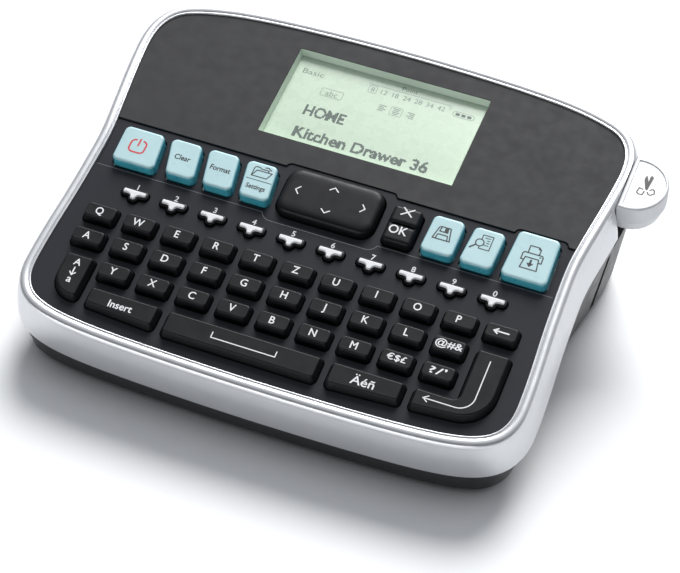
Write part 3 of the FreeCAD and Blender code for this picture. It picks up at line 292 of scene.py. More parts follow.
def rounded(corners, grow, steps=6):
    """(x, v) points round a polygon of (x, v, corner radius), moved outwards by grow."""
    count = len(corners)
    lines = []
    for i in range(count):
        (ax, av, _), (bx, bv, _) = corners[i], corners[(i + 1) % count]
        long = math.hypot(bx - ax, bv - av)
        nx, nv = (bv - av) / long, -(bx - ax) / long
        lines.append((nx, nv, nx * ax + nv * av + grow))
    moved = []
    for i in range(count):
        a, b = lines[i - 1], lines[i]
        det = a[0] * b[1] - a[1] * b[0]
        moved.append(Vector(((a[2] * b[1] - b[2] * a[1]) / det, (a[0] * b[2] - b[0] * a[2]) / det)))
    points = []
    for i in range(count):
        before, here, after = moved[i - 1], moved[i], moved[(i + 1) % count]
        one, two = (before - here).normalized(), (after - here).normalized()
        convex = -one.x * two.y + one.y * two.x > 0
        radius = max(corners[i][2] + (grow if convex else -grow), 0.2)
        half = math.acos(max(-1.0, min(1.0, one.dot(two)))) / 2
        centre = here + (one + two).normalized() * radius / math.sin(half)
        start, end = here + one * radius / math.tan(half), here + two * radius / math.tan(half)
        first = math.atan2(*(start - centre).yx)
        turn = (math.atan2(*(end - centre).yx) - first + math.pi) % (2 * math.pi) - math.pi
        for k in range(steps + 1):
            angle = first + turn * k / steps
            points.append((centre.x + radius * math.cos(angle), centre.y + radius * math.sin(angle)))
    return points


def round_points(radius, steps):
    return [(radius * math.cos(a), radius * math.sin(a))
            for a in (math.tau * k / steps for k in range(steps))]


def lofted(rings, first=0):
    """Verts and faces of a closed block through rings of (x, v, h) points."""
    verts = [p for ring in rings for p in ring]
    around = len(rings[0])
    faces = []
    for i in range(len(rings) - 1):
        for k in range(around):
            a, b = i * around + k, i * around + (k + 1) % around
            faces.append((first + a, first + b, first + b + around, first + a + around))
    faces.append(tuple(first + k for k in reversed(range(around))))
    top = (len(rings) - 1) * around
    faces.append(tuple(first + top + k for k in range(around)))
    return verts, faces


def looped_faces(count, around):
    """Faces of a closed tube: count rings of around points, the last joined to the first."""
    faces = []
    for i in range(count):
        low, high = i * around, (i + 1) % count * around
        faces += [(low + k, low + (k + 1) % around, high + (k + 1) % around, high + k)
                  for k in range(around)]
    return faces


def ring(outline, h):
    return [(x, v, h) for x, v in outline]


def block(outline_at, profile):
    """Closed block whose outline_at(grow) follows a profile of (grow, h)."""
    return lofted([ring(outline_at(grow), h) for grow, h in profile])


def add_block(parts, outline_at, profile, tint_from=None):
    """Append a block to parts = [verts, faces, tints]; bands from tint_from up take tint 1."""
    verts, faces = block(outline_at, profile)
    start = len(parts[0])
    around = len(outline_at(0))
    under = len(faces) - 2
    for n, face in enumerate(faces):
        parts[1].append(tuple(start + i for i in face))
        parts[2].append(int(tint_from is not None and n // around >= tint_from and n != under))
    parts[0].extend(verts)


def make_cap(node, name, outline_at, profile, mat):
    """Key cap that replaces a CAD node and rides on the body of the same name."""
    verts, faces = block(outline_at, profile)
    thing = finished(name, verts, faces, KEY_DECK, node, [mat])
    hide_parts(node)
    weighted(thing)


# ---------------------------------------------------------------- case outline and bezel
FACE_HALF = [(0, -68.5), (20, -68.3), (40, -67.7), (53.1, -66.7), (61.5, -65.0), (66.9, -62.0),
             (69.5, -57.2), (70.0, -51.4), (69.7, -41.4), (69.0, -29.4), (68.5, -15.4), (68.5, -5.4),
             (69.4, 3.6), (70.8, 14.6), (72.0, 25.6), (72.2, 33.1), (71.0, 38.4), (68.0, 42.6),
             (63.0, 45.1), (55.0, 47.2), (42.0, 48.9), (25.0, 49.9), (0, 50.4)]
EASE = 8.0               # how far to either side of the ridge the bend reaches
EASE_STEPS = 16
AROUND = 480             # samples round the outline
SPAN_STEPS = 60          # samples in each span of the spline


def periodic_spline(points, count):
    """Even samples (position, unit tangent) of the closed cubic through points."""
    p = np.array(points, float)
    n = len(p)
    step = np.linalg.norm(np.roll(p, -1, 0) - p, axis=1)
    matrix, right = np.zeros((n, n)), np.zeros((n, 2))
    for i in range(n):
        a, b = step[i - 1], step[i]
        matrix[i, i - 1], matrix[i, i], matrix[i, (i + 1) % n] = b, 2 * (a + b), a
        right[i] = 3 * (b * (p[i] - p[i - 1]) / a + a * (p[(i + 1) % n] - p[i]) / b)
    slope = np.linalg.solve(matrix, right)
    fine, speed = [], []
    for i in range(n):
        j, h = (i + 1) % n, step[i]
        for t in np.linspace(0, 1, SPAN_STEPS, endpoint=False):
            a, b = 2 * t**3 - 3 * t**2 + 1, t**3 - 2 * t**2 + t
            c, d = -2 * t**3 + 3 * t**2, t**3 - t**2
            fine.append(a * p[i] + b * h * slope[i] + c * p[j] + d * h * slope[j])
            e, f, g, k = 6 * t**2 - 6 * t, 3 * t**2 - 4 * t + 1, 6 * t - 6 * t**2, 3 * t**2 - 2 * t
            speed.append((e * p[i] + g * p[j]) / h + f * slope[i] + k * slope[j])
    fine, speed = np.array(fine), np.array(speed)
    run = np.concatenate([[0], np.cumsum(np.linalg.norm(np.roll(fine, -1, 0) - fine, axis=1))])
    pick = [np.searchsorted(run, run[-1] * k / count, "right") - 1 for k in range(count)]
    unit = speed / np.linalg.norm(speed, axis=1)[:, None]
    return [(fine[i], unit[i]) for i in pick]


OUTLINE = periodic_spline(FACE_HALF + [(-x, v) for x, v in reversed(FACE_HALF[1:-1])], AROUND)


def outline_points(out):
    return [(p[0] + out * t[1], p[1] - out * t[0]) for p, t in OUTLINE]


def slope_at(v):
    share = min(1.0, max(0.0, (v + EASE) / (2 * EASE)))
    return KEY_SLOPE + (PANEL_SLOPE - KEY_SLOPE) * share


def eased(x, v, h):
    """World place, in millimetres, of (x, v, h) with the ridge eased over."""
    y, z = -EASE * math.cos(KEY_SLOPE), -EASE * math.sin(KEY_SLOPE)
    if v < -EASE:
        y, z = y + (v + EASE) * math.cos(KEY_SLOPE), z + (v + EASE) * math.sin(KEY_SLOPE)
    else:
        reach = min(v, EASE) + EASE
        for i in range(EASE_STEPS):
            tilt = slope_at(-EASE + reach * (i + 0.5) / EASE_STEPS)
            y, z = y + reach / EASE_STEPS * math.cos(tilt), z + reach / EASE_STEPS * math.sin(tilt)
        if v > EASE:
            y, z = y + (v - EASE) * math.cos(PANEL_SLOPE), z + (v - EASE) * math.sin(PANEL_SLOPE)
    tilt = slope_at(v)
    return (x, RIDGE.y + y - h * math.sin(tilt), RIDGE.z + z + h * math.cos(tilt))


def smooth_run(points, steps=5):
    """Catmull-Rom samples through an open run of (out, h) points."""
    ends = [points[0]] + list(points) + [points[-1]]
    run = []
    for i in range(1, len(ends) - 2):
        p0, p1, p2, p3 = (np.array(ends[k], float) for k in (i - 1, i, i + 1, i + 2))
        for k in range(steps):
            t = k / steps
            run.append(tuple(0.5 * (2 * p1 + (p2 - p0) * t + (2 * p0 - 5 * p1 + 4 * p2 - p3) * t**2
                                    + (3 * p1 - p0 - 3 * p2 + p3) * t**3)))
    return run + [tuple(points[-1])]


def cut_away(thing, verts, faces, place):
    """Take the closed block of verts and faces away from thing."""
    cutter = linked("cutter", closed_mesh("cutter", verts, faces, place))
    tool = thing.modifiers.new("cut", "BOOLEAN")
    tool.operation, tool.solver, tool.object = "DIFFERENCE", "EXACT", cutter
    graph = bpy.context.evaluated_depsgraph_get()
    made = bpy.data.meshes.new_from_object(thing.evaluated_get(graph))
    thing.modifiers.clear()
    thing.data = made
    bpy.data.objects.remove(cutter)


CUTTER_X, CUTTER_V, CUTTER_R, CUTTER_FLAT = 77.0, 27.6, 9.9, 75.0
CUTTER_GAP, FLAT_GAP = 0.6, 0.3          # clearance of the pocket round the cutter button
INLET_V, INLET_H, INLET_R = -22.0, -12.4, 4.2


def d_shape(radius, flat_x, steps=56, flats=9):
    """Circle round the cutter centre, cut off straight at flat_x."""
    reach = math.acos((flat_x - CUTTER_X) / radius)
    arc = [(CUTTER_X + radius * math.cos(-reach + 2 * reach * k / steps),
            CUTTER_V + radius * math.sin(-reach + 2 * reach * k / steps)) for k in range(steps + 1)]
    (x0, v0), (x1, v1) = arc[-1], arc[0]
    return arc + [(x0, v0 + (v1 - v0) * k / flats) for k in range(1, flats)]


def make_bezel():
    """Silver ring: inner lip and groove, rolled crest, hollow, flared skirt with a rolled lower edge."""
    skin = smooth_run([(0.95, 0.5), (1.3, 0.62), (1.8, 0.68), (2.4, 0.6), (2.9, 0.3), (3.25, -0.15),
                       (3.45, -0.6), (3.55, -1.1), (3.72, -1.7), (3.95, -2.6), (4.3, -4.0), (4.65, -5.6),
                       (4.95, -7.4), (5.2, -9.2), (5.47, -12.05)])
    lower = [(5.5, -12.25), (5.44, -12.37), (5.3, -12.4), (3.6, -12.4), (2.7, -8.6), (1.5, -5.0), (0.0, -4.1),
             (-1.7, -4.1), (-1.7, -2.25), (0.0, -2.25)]
    lip = [(0.0, 0.25), (0.04, 0.38), (0.12, 0.47), (0.25, 0.5), (0.5, 0.49), (0.6, 0.42), (0.66, 0.32),
           (0.70, 0.3), (0.80, 0.31), (0.84, 0.36), (0.9, 0.44)]
    section = skin + lower + lip
    verts = [eased(x, v, h) for out, h in section for x, v in outline_points(out)]
    faces = looped_faces(len(section), AROUND)
    bezel = finished("silver_bezel", verts, faces, WORLD, "case", [SILVER],
                     sharp=BEZEL_SHARP)
    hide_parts("top_bezel")
    pocket = d_shape(CUTTER_R + CUTTER_GAP, CUTTER_FLAT - FLAT_GAP)
    cut_away(bezel, *lofted([ring(pocket, -30), ring(pocket, 12)]), PANEL)
    _, y, z = eased(0, INLET_V, INLET_H)
    circle = [(y + dy, z + dz) for dy, dz in round_points(INLET_R, 48)]
    cut_away(bezel, *lofted([[(x, *p) for p in circle] for x in (-90.0, -69.6)]), WORLD)
    bezel.data.set_sharp_from_angle(angle=math.radians(BEZEL_SHARP))


make_bezel()


# ---------------------------------------------------------------- keys
def rectangle(x0, x1, v0, v1, radius):
    return [(x0, v0, radius), (x1, v0, radius), (x1, v1, radius), (x0, v1, radius)]


UNDER = [(0.7, -3.15), (0.7, -2.35), (0.0, -2.35)]       # retaining flange below the plate
SOFT_TOP = [(0.0, 0.3), (0.08, 0.6), (0.32, 1.2), (0.54, 1.72), (0.70, 2.08), (0.80, 2.30), (0.90, 2.45),
            (1.02, 2.55), (1.18, 2.595), (1.4, 2.6), (1.9, 2.58)]      # (share of the lean, h)
LETTERS = "qwertzuiopasdfghjklyxcvbnm"
LETTER_WIDE, LETTER_DEEP, LETTER_CORNER = 4.8, 2.95, 1.25     # half sizes at the plate


def letter_outline(x, v, share):
    """Letter key outline: the long sides lean in more than the short ones."""
    wide, deep = LETTER_WIDE - 0.55 * share, LETTER_DEEP - 0.9 * share
    corner = max(0.5, LETTER_CORNER - 0.35 * share)
    return rectangle(x - wide, x + wide, v - deep, v + deep, corner)


def letter_rings(x, v):
    base = letter_outline(x, v, 0)
    rings = [ring(rounded(base, grow), h) for grow, h in UNDER]
    return rings + [ring(rounded(letter_outline(x, v, share), 0), h) for share, h in SOFT_TOP]


def make_letter_piece(name, spots, node):
    verts, faces = [], []
    for x, v in spots:
        more, sides = lofted(letter_rings(x, v), len(verts))
        verts, faces = verts + more, faces + sides
    thing = finished(name, verts, faces, KEY_DECK, node, [RUBBER])
    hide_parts(node)
    weighted(thing)


spot_of = {}
for letter in LETTERS:
    node = "key_" + letter
    spot_of[letter] = middle_of(node)
    make_letter_piece("letter_key_" + letter, [spot_of[letter]], node)

PITCH = spot_of["w"][0] - spot_of["q"][0]
ROWS = [spot_of["q"][1], spot_of["a"][1], spot_of["y"][1]]
SYMBOLS = [(5 * PITCH, ROWS[0]), (4 * PITCH, ROWS[1]), (3 * PITCH, ROWS[2]), (4 * PITCH, ROWS[2])]
make_letter_piece("symbol_key_caps", SYMBOLS, "symbol_keys")

WIDE_KEYS = {
    "caps_key": [(-62.6, -61.6, 7.0), (-53.7, -62.2, 1.6), (-53.7, -48.1, 1.2), (-62.6, -48.1, 1.2)],
    "insert_key": [(-51.4, -62.6, 1.2), (-30.3, -64.0, 1.6), (-30.3, -56.5, 1.2), (-51.4, -56.5, 1.2)],
    "space_key": [(-28.1, -64.4, 1.6), (17.1, -64.4, 1.6), (17.1, -56.5, 1.2), (-28.1, -56.5, 1.2)],
    "accents_key": [(19.5, -64.4, 1.6), (40.6, -63.2, 1.2), (40.6, -56.5, 1.2), (19.5, -56.5, 1.2)],
    "enter_key": [(42.9, -63.2, 1.2), (64.4, -61.6, 9.5), (64.4, -39.8, 1.2), (54.6, -39.8, 1.2),
                  (54.6, -56.6, 1.4), (42.9, -56.6, 1.2)],
}
WIDE_PROFILE = UNDER + [(-0.9 * share, h) for share, h in SOFT_TOP]
for node, corners in WIDE_KEYS.items():
    make_cap(node, node + "_cap", lambda grow, c=corners: rounded(c, grow, 10), WIDE_PROFILE, RUBBER)

FUNCTION_CORNER = 1.7
FUNCTION_KEYS = {        # x of the front corners, x of the rear corners, front and rear v
    "power_key": (-63.9, -50.8, -64.2, -52.2, -15.7, -3.5),
    "clear_key": (-47.4, -38.7, -50.2, -40.7, -15.3, -3.3),
    "format_key": (-36.1, -27.3, -38.6, -29.3, -15.3, -3.2),
    "settings_key": (-25.0, -16.2, -26.8, -17.6, -15.3, -3.1),
    "save_key": (28.8, 38.3, 29.3, 38.4, -15.7, -3.3),
    "preview_key": (40.2, 49.7, 41.2, 50.2, -15.9, -3.3),
    "print_key": (52.2, 65.5, 53.0, 65.0, -16.0, -0.4),
}
FUNCTION_PROFILE = UNDER + [(0.0, 1.95), (-0.03, 2.25), (-0.12, 2.5), (-0.27, 2.7), (-0.46, 2.84),
                            (-0.7, 2.9), (-1.1, 2.9)]
for node, (a, b, c, d, v0, v1) in FUNCTION_KEYS.items():
    quad = [(x, v, FUNCTION_CORNER) for x, v in ((a, v0), (b, v0), (d, v1), (c, v1))]
    make_cap(node, node + "_cap", lambda grow, q=quad: rounded(q, grow, 10), FUNCTION_PROFILE, FUNCTION)

NUMBER_V = -23.6
NUMBER_T = [(-1.4, -2.9, 1.2), (1.4, -2.9, 1.2), (1.5, -1.35, 0.5), (4.1, -1.35, 1.1),
            (4.1, 1.35, 1.1), (-4.1, 1.35, 1.1), (-4.1, -1.35, 1.1), (-1.5, -1.35, 0.5)]
NUMBER_PROFILE = UNDER + [(0.0, 0.55), (-0.08, 0.78), (-0.25, 0.9), (-0.72, 0.9), (-0.75, 1.25),
                          (-0.83, 1.42), (-0.98, 1.5), (-1.1, 1.5)]
WHITE_FROM = 6           # the band of NUMBER_PROFILE where the dark skirt turns into the white bar
NUMBER_X = [(i - 4.5) * PITCH for i in range(10)]
number_parts = [[], [], []]
for x in NUMBER_X:
    outline = [(x + dx, NUMBER_V + dv, corner) for dx, dv, corner in NUMBER_T]
    add_block(number_parts, lambda grow, o=outline: rounded(o, grow, 6), NUMBER_PROFILE, WHITE_FROM)
numbers = finished("number_key_caps", number_parts[0], number_parts[1], KEY_DECK, "number_keys",
                   [RUBBER, CAP_WHITE], number_parts[2])
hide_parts("number_keys")
weighted(numbers)

NAV = (-14.4, 14.4, -16.2, -0.5)
NAV_PROFILE = [(0.0, -1.6), (0.0, 0.5), (-0.08, 1.0), (-0.24, 1.5), (-0.5, 1.95), (-0.85, 2.25),
               (-1.3, 2.43), (-1.9, 2.53), (-2.7, 2.58), (-4.0, 2.6)]
make_cap("navigation_pad", "navigation_pad_cap", lambda grow: rounded(rectangle(*NAV, 4.0), grow, 14),
         NAV_PROFILE, RUBBER)

ROCKER = (17.5, 26.2, -15.8, -3.4)
ROCKER_FOOT = [(0.0, -1.9), (0.0, 1.0), (-0.5, 1.7)]
ROCKER_HALF = [(-0.05, 0.6), (-0.05, 1.2), (-0.15, 1.7), (-0.34, 2.15), (-0.62, 2.45), (-0.95, 2.57),
               (-1.3, 2.6)]
CREASE_HALF = 0.06
crease = (ROCKER[2] + ROCKER[3]) / 2
rocker = [[], [], []]
add_block(rocker, lambda grow: rounded(rectangle(*ROCKER, 1.6), grow, 8), ROCKER_FOOT)
for v0, v1 in ((ROCKER[2], crease - CREASE_HALF), (crease + CREASE_HALF, ROCKER[3])):
    half = rectangle(*ROCKER[:2], v0, v1, 1.3)
    add_block(rocker, lambda grow, h=half: rounded(h, grow, 8), ROCKER_HALF)
rocker_cap = finished("cancel_ok_cap", rocker[0], rocker[1], KEY_DECK, "cancel_ok_key", [RUBBER])
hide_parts("cancel_ok_key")
weighted(rocker_cap)


# ---------------------------------------------------------------- printed signs
FONT_CAPITAL = 0.7       # height of a capital in the font's own units


def text_shape(text, bold=0.0):
    """Flat letters as (points, faces), with a capital one unit high."""
    curve = bpy.data.curves.new("letters", "FONT")
    curve.body, curve.offset, curve.resolution_u = text, bold, 4
    holder = linked("letters", curve)
    graph = bpy.context.evaluated_depsgraph_get()
    mesh = bpy.data.meshes.new_from_object(holder.evaluated_get(graph))
    points = [(p.co.x / FONT_CAPITAL, p.co.y / FONT_CAPITAL) for p in mesh.vertices]
    faces = [tuple(f.vertices) for f in mesh.polygons]
    bpy.data.objects.remove(holder)
    bpy.data.curves.remove(curve)
    bpy.data.meshes.remove(mesh)
    return points, faces


MITRE_FLOOR = 0.35       # keeps the mitre of a sharp turn short
LAYER_STEP = 0.002       # height between the shifted copies of one sign


class Print:
    """Flat signs in one ink, gathered and laid on a deck just above a surface."""

    def __init__(self):
        self.verts, self.faces = [], []

    def add(self, points, faces):
        start = len(self.verts)
        self.verts += points
        self.faces += [tuple(start + i for i in face) for face in faces]

    def text(self, text, x, v, high=None, wide=None, squeeze=1.0):
        """Text centred at (x, v); high is the capitals' height, wide the width of the whole."""
        points, faces = text_shape(text)
        x0, x1 = min(p[0] for p in points), max(p[0] for p in points)
        low, top = min(p[1] for p in points), max(p[1] for p in points)
        scale = high if high else wide / (x1 - x0)
        along = wide / (x1 - x0) if high and wide else scale * squeeze
        mid = (x0 + x1) / 2
        base = 0.5 if high and text != text.lower() else (low + top) / 2
        self.add([(x + (px - mid) * along, v + (py - base) * scale) for px, py in points], faces)
        return self

    def line(self, points, width, closed=False):
        """A stroke with mitred turns."""
        pts = [Vector(p) for p in points]
        count = len(pts)
        left, right = [], []
        for i, p in enumerate(pts):
            before = pts[i - 1] if (i > 0 or closed) else None
            after = pts[(i + 1) % count] if (i < count - 1 or closed) else None
            one = (p - before).normalized() if before is not None else (after - p).normalized()
            two = (after - p).normalized() if after is not None else one
            normal = Vector((-(one + two).y, (one + two).x))
            normal = normal.normalized() if normal.length > 1e-6 else Vector((-one.y, one.x))
            reach = width / 2 / max(MITRE_FLOOR, normal.dot(Vector((-one.y, one.x))))
            left.append(tuple(p + normal * reach))
            right.append(tuple(p - normal * reach))
        spans = count if closed else count - 1
        faces = [(i, (i + 1) % count, count + (i + 1) % count, count + i) for i in range(spans)]
        self.add(left + right, faces)
        return self

    def patch(self, points):
        self.add([tuple(p) for p in points], [tuple(range(len(points)))])
        return self

    def make(self, name, place, h, body, ink, bolder=0.0):
        """Lay the signs at height h; bolder thickens every stroke by laying shifted copies over it."""
        verts, faces = [], []
        shifts = [(0, 0), (1, 0), (-1, 0), (0, 1), (0, -1)] if bolder else [(0, 0)]
        for layer, (dx, dv) in enumerate(shifts):
            start = len(verts)
            verts += [(x + bolder * dx, v + bolder * dv, h + LAYER_STEP * layer) for x, v in self.verts]
            faces += [tuple(start + i for i in face) for face in self.faces]
        mesh = bpy.data.meshes.new(name)
        mesh.from_pydata([place @ Vector(v) for v in verts], [], faces)
        mesh.materials.append(ink)
        up = place.to_3x3() @ Vector((0, 0, 1))
        work = bmesh.new()
        work.from_mesh(mesh)
        for face in work.faces:
            face.normal_update()
            if face.normal.dot(up) < 0:
                face.normal_flip()
        work.to_mesh(mesh)
        work.free()
        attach(linked(name, mesh), body)


def moved(points, x, v):
    return [(x + px, v + pv) for px, pv in points]


def box_line(x, v, wide, deep, radius):
    return rounded(rectangle(x - wide / 2, x + wide / 2, v - deep / 2, v + deep / 2, radius), 0, 4)


KEY_TOP, FUNCTION_TOP, BUTTON_TOP = 2.6, 2.9, 0.75
LIFT = 0.02              # height of printed ink above its surface
BOLDER = 0.05            # how far the copies of a bold legend are shifted
for letter, (x, v) in spot_of.items():
    Print().text(letter.upper(), x - 0.3, v + 0.1, high=2.3, squeeze=0.92).make(
        "legend_" + letter, KEY_DECK, KEY_TOP + LIFT, "key_" + letter, INK_WHITE, BOLDER)

digits = Print()
for x, digit in zip(NUMBER_X, "1234567890"):
    digits.text(digit, x - 0.2, -20.95, high=1.75)
digits.make("printed_digits", KEY_DECK, LIFT, "case", INK_WHITE, BOLDER)

signs = Print()
(bx, bv), (ax, av), (ex, ev), (qx, qv) = SYMBOLS
signs.line([(bx + 2.2, bv), (bx - 2.0, bv)], 0.34)
signs.line([(bx - 0.9, bv + 0.85), (bx - 2.1, bv), (bx - 0.9, bv - 0.85)], 0.34)
signs.text("@#&", ax, av, high=2.1, wide=7.6)
signs.text("€$£", ex, ev + 0.1, high=1.9, wide=5.4)
signs.text("?/'", qx, qv + 0.1, high=2.1, wide=4.6)
signs.make("symbol_legends", KEY_DECK, KEY_TOP + LIFT, "symbol_keys", INK_WHITE, BOLDER)

caps = Print()
caps.text("A", -57.9, -51.1, high=2.1)
caps.line([(-57.9, -52.9), (-57.9, -55.2)], 0.3).line([(-58.8, -54.5), (-57.9, -55.5), (-57.0, -54.5)], 0.3)
caps.text("a", -57.9, -57.2, high=2.3)
caps.make("legend_caps", KEY_DECK, KEY_TOP + LIFT, "caps_key", INK_WHITE, BOLDER)
Print().text("Insert", -40.9, -60.4, high=2.2, wide=6.9).make(
    "legend_insert", KEY_DECK, KEY_TOP + LIFT, "insert_key", INK_WHITE, BOLDER)
Print().line([(-13.9, -59.4), (-13.9, -61.2), (4.7, -61.2), (4.7, -59.4)], 0.32).make(
    "legend_space", KEY_DECK, KEY_TOP + LIFT, "space_key", INK_WHITE)
Print().text("Äéñ", 29.6, -60.5, high=2.6, wide=6.6).make(
    "legend_accents", KEY_DECK, KEY_TOP + LIFT, "accents_key", INK_WHITE, BOLDER)
bend = [(59.3 - 4.3 + 4.3 * math.cos(a), -55.2 + 4.3 * math.sin(a))
        for a in (-math.pi / 2 * k / 12 for k in range(13))]
enter = Print().line([(59.3, -43.1)] + bend + [(46.4, -59.5)], 0.32)
enter.line([(47.6, -58.5), (46.2, -59.5), (47.6, -60.5)], 0.32)
enter.make("legend_enter", KEY_DECK, KEY_TOP + LIFT, "enter_key", INK_WHITE)

pad = Print()
for x, v, turn in ((-9.8, -8.3, 90), (0.0, -4.9, 0), (9.7, -8.3, -90), (0.0, -12.6, 180)):
    c, s = math.cos(math.radians(turn)), math.sin(math.radians(turn))
    pad.line([(x + c * a - s * b, v + s * a + c * b)
              for a, b in ((-1.35, -0.55), (0, 0.6), (1.35, -0.55))], 0.34)
pad.make("navigation_arrows", KEY_DECK, KEY_TOP + LIFT, "navigation_pad", INK_WHITE)

ok = Print().line([(20.2, -6.6), (23.6, -4.0)], 0.34)
ok.line([(20.4, -4.0), (21.72, -5.16)], 0.34).line([(22.06, -5.44), (23.4, -6.6)], 0.34)
ok.text("OK", 21.4, -11.7, high=2.7, wide=5.3)
ok.make("cancel_ok_legends", KEY_DECK, KEY_TOP + LIFT, "cancel_ok_key", INK_WHITE, BOLDER)


def key_print(name, node, ink, draw):
    sign = Print()
    draw(sign)
    sign.make(name, KEY_DECK, FUNCTION_TOP + LIFT, node, ink, BOLDER)


def power_sign(s):
    x, v = -58.2, -9.7
    arc = box_line(x, v, 4.6, 4.2, 1.2)
    start = next(i for i, p in enumerate(arc) if p[1] > v and p[0] < x)
    order = arc[start:] + arc[:start]
    s.line([(x - 0.95, v + 2.1)] + order[1:] + [(x + 0.95, v + 2.1)], 0.42)
    s.line([(x, v + 2.7), (x, v + 0.1)], 0.42)


def folder_sign(s):
    x, v = -21.3, -6.5
    s.line(moved([(-2.6, -1.6), (-2.6, 1.2), (-2.2, 1.6), (-1.1, 1.6), (-0.7, 1.2), (1.7, 1.2),
                  (1.7, 0.5)], x, v), 0.2)
    s.line(moved([(-2.6, -1.6), (-1.6, 0.5), (2.9, 0.5), (1.9, -1.6)], x, v), 0.2, True)
    s.line(moved([(0.3, 1.9), (1.2, 2.1), (2.4, 1.4)], x, v), 0.2)
    s.line([(-25.0, -9.3), (-17.4, -9.3)], 0.1)
    s.text("Settings", -21.2, -11.6, high=1.5, wide=5.7)


def floppy_sign(s):
    x, v = 33.6, -8.9
    s.line(moved([(-2.5, -2.1), (-1.7, 1.7), (-1.2, 2.1), (1.6, 2.1), (2.4, -2.1)], x, v), 0.26, True)
    s.line(moved([(-1.0, 2.1), (-1.2, 0.5), (1.1, 0.5), (0.9, 2.1)], x, v), 0.24)
    s.patch(moved([(0.1, 0.6), (0.9, 0.6), (0.75, 2.0), (0.1, 2.0)], x, v))
    s.line(moved([(-1.7, -2.1), (-1.4, -0.5), (1.4, -0.5), (1.7, -2.1)], x, v), 0.24)


def preview_sign(s):
    x, v = 44.9, -8.2
    s.line(moved([(-0.7, 0.9), (-0.7, 2.6), (2.3, 2.6), (2.3, -2.0), (-0.7, -2.0), (-0.7, -1.2)], x, v), 0.18)
    for k in range(4):
        s.line(moved([(0.9 if 0 < k < 3 else 0.1, 1.8 - 0.8 * k), (1.7, 1.8 - 0.8 * k)], x, v), 0.14)
    s.line(moved(round_points(1.15, 24), x - 0.9, v - 0.1), 0.24, True)
    s.line(moved([(-1.75, -1.0), (-3.2, -2.5)], x, v), 0.42)


def printer_sign(s):
    x, v = 59.1, -8.3
    s.line(moved([(-1.6, 1.3), (-1.6, 3.7), (1.0, 3.7), (1.6, 3.1), (1.6, 1.3)], x, v), 0.24)
    s.line(moved([(1.0, 3.7), (1.0, 3.1), (1.6, 3.1)], x, v), 0.18)
    s.line(moved([(-2.0, -1.2), (-2.9, -1.2), (-2.9, 0.8), (-2.5, 1.3), (2.5, 1.3), (2.9, 0.8), (2.9, -1.2),
                  (2.0, -1.2)], x, v), 0.26)
    s.line(moved([(-1.9, -0.2), (1.9, -0.2), (2.4, -3.9), (-2.4, -3.9)], x, v), 0.24, True)
    s.line(moved([(0, -0.8), (0, -2.2)], x, v), 0.5)
    s.patch(moved([(-0.95, -2.0), (0, -3.2), (0.95, -2.0)], x, v))
    s.patch(moved([(1.9, 0.5), (2.35, 0.5), (2.35, 0.75), (1.9, 0.75)], x, v))


key_print("power_sign", "power_key", INK_RED, power_sign)
key_print("legend_clear", "clear_key", INK_BLACK,
          lambda s: s.text("Clear", -44.5, -9.1, high=1.7, wide=4.7))
key_print("legend_format", "format_key", INK_BLACK,
          lambda s: s.text("Format", -32.9, -9.1, high=1.7, wide=6.0))
key_print("settings_sign", "settings_key", INK_BLACK, folder_sign)
key_print("save_sign", "save_key", INK_BLACK, floppy_sign)
key_print("preview_sign", "preview_key", INK_BLACK, preview_sign)
key_print("print_sign", "print_key", INK_BLACK, printer_sign)

# scissors on the cutter button: open blades above two hollow handles
SCISSORS = (80.9, 26.4)
BLADES = (
    [(0.2, -0.2), (0.4, 0.3), (0.9, 4.7), (0.5, 5.3), (0.1, 5.3), (-0.15, 5.0), (-0.2, 3.1)],
    [(0.2, -0.2), (-0.2, 3.1), (-0.75, 4.5), (-1.1, 5.0), (-1.45, 4.3), (-1.5, 3.4), (-0.35, 0.2)],
)
HANDLES = (
    [(-0.75, -0.15), (-1.95, 0.1), (-2.3, -1.55), (-1.8, -2.1), (-0.6, -2.1), (-0.3, -0.6)],
    [(0.95, 0.1), (1.8, 0.75), (2.3, 0.4), (2.55, -0.7), (1.6, -1.5), (0.95, -1.4), (0.55, -0.6)],
)
scissors = Print()
for blade in BLADES:
    scissors.patch(moved(blade, *SCISSORS))
for handle in HANDLES:
    scissors.line(moved(handle, *SCISSORS), 0.36)
scissors.make("scissors_sign", PANEL, BUTTON_TOP + LIFT, "cutter_button", INK_BROWN)

# painted highlight: a grey ink line standing in for the glint on the edge where the key plate steps down to
# the function strip
BEND_START = 0.32        # radians of the bend round the pad that the straight edge hides
angles = [math.pi + BEND_START + (math.pi / 2 - BEND_START) * k / 8 for k in range(9)]
left_bend = [(-14.2 + 3.15 * math.cos(a), -16.0 + 3.15 * math.sin(a)) for a in angles]
highlight_path = [(-67.9, -17.0)] + left_bend + [(-x, v) for x, v in reversed(left_bend)] + [(67.9, -17.0)]
Print().line(highlight_path, 0.2).make("strip_edge_painted_highlight", KEY_DECK, LIFT, "case", EDGE_GLINT_INK)


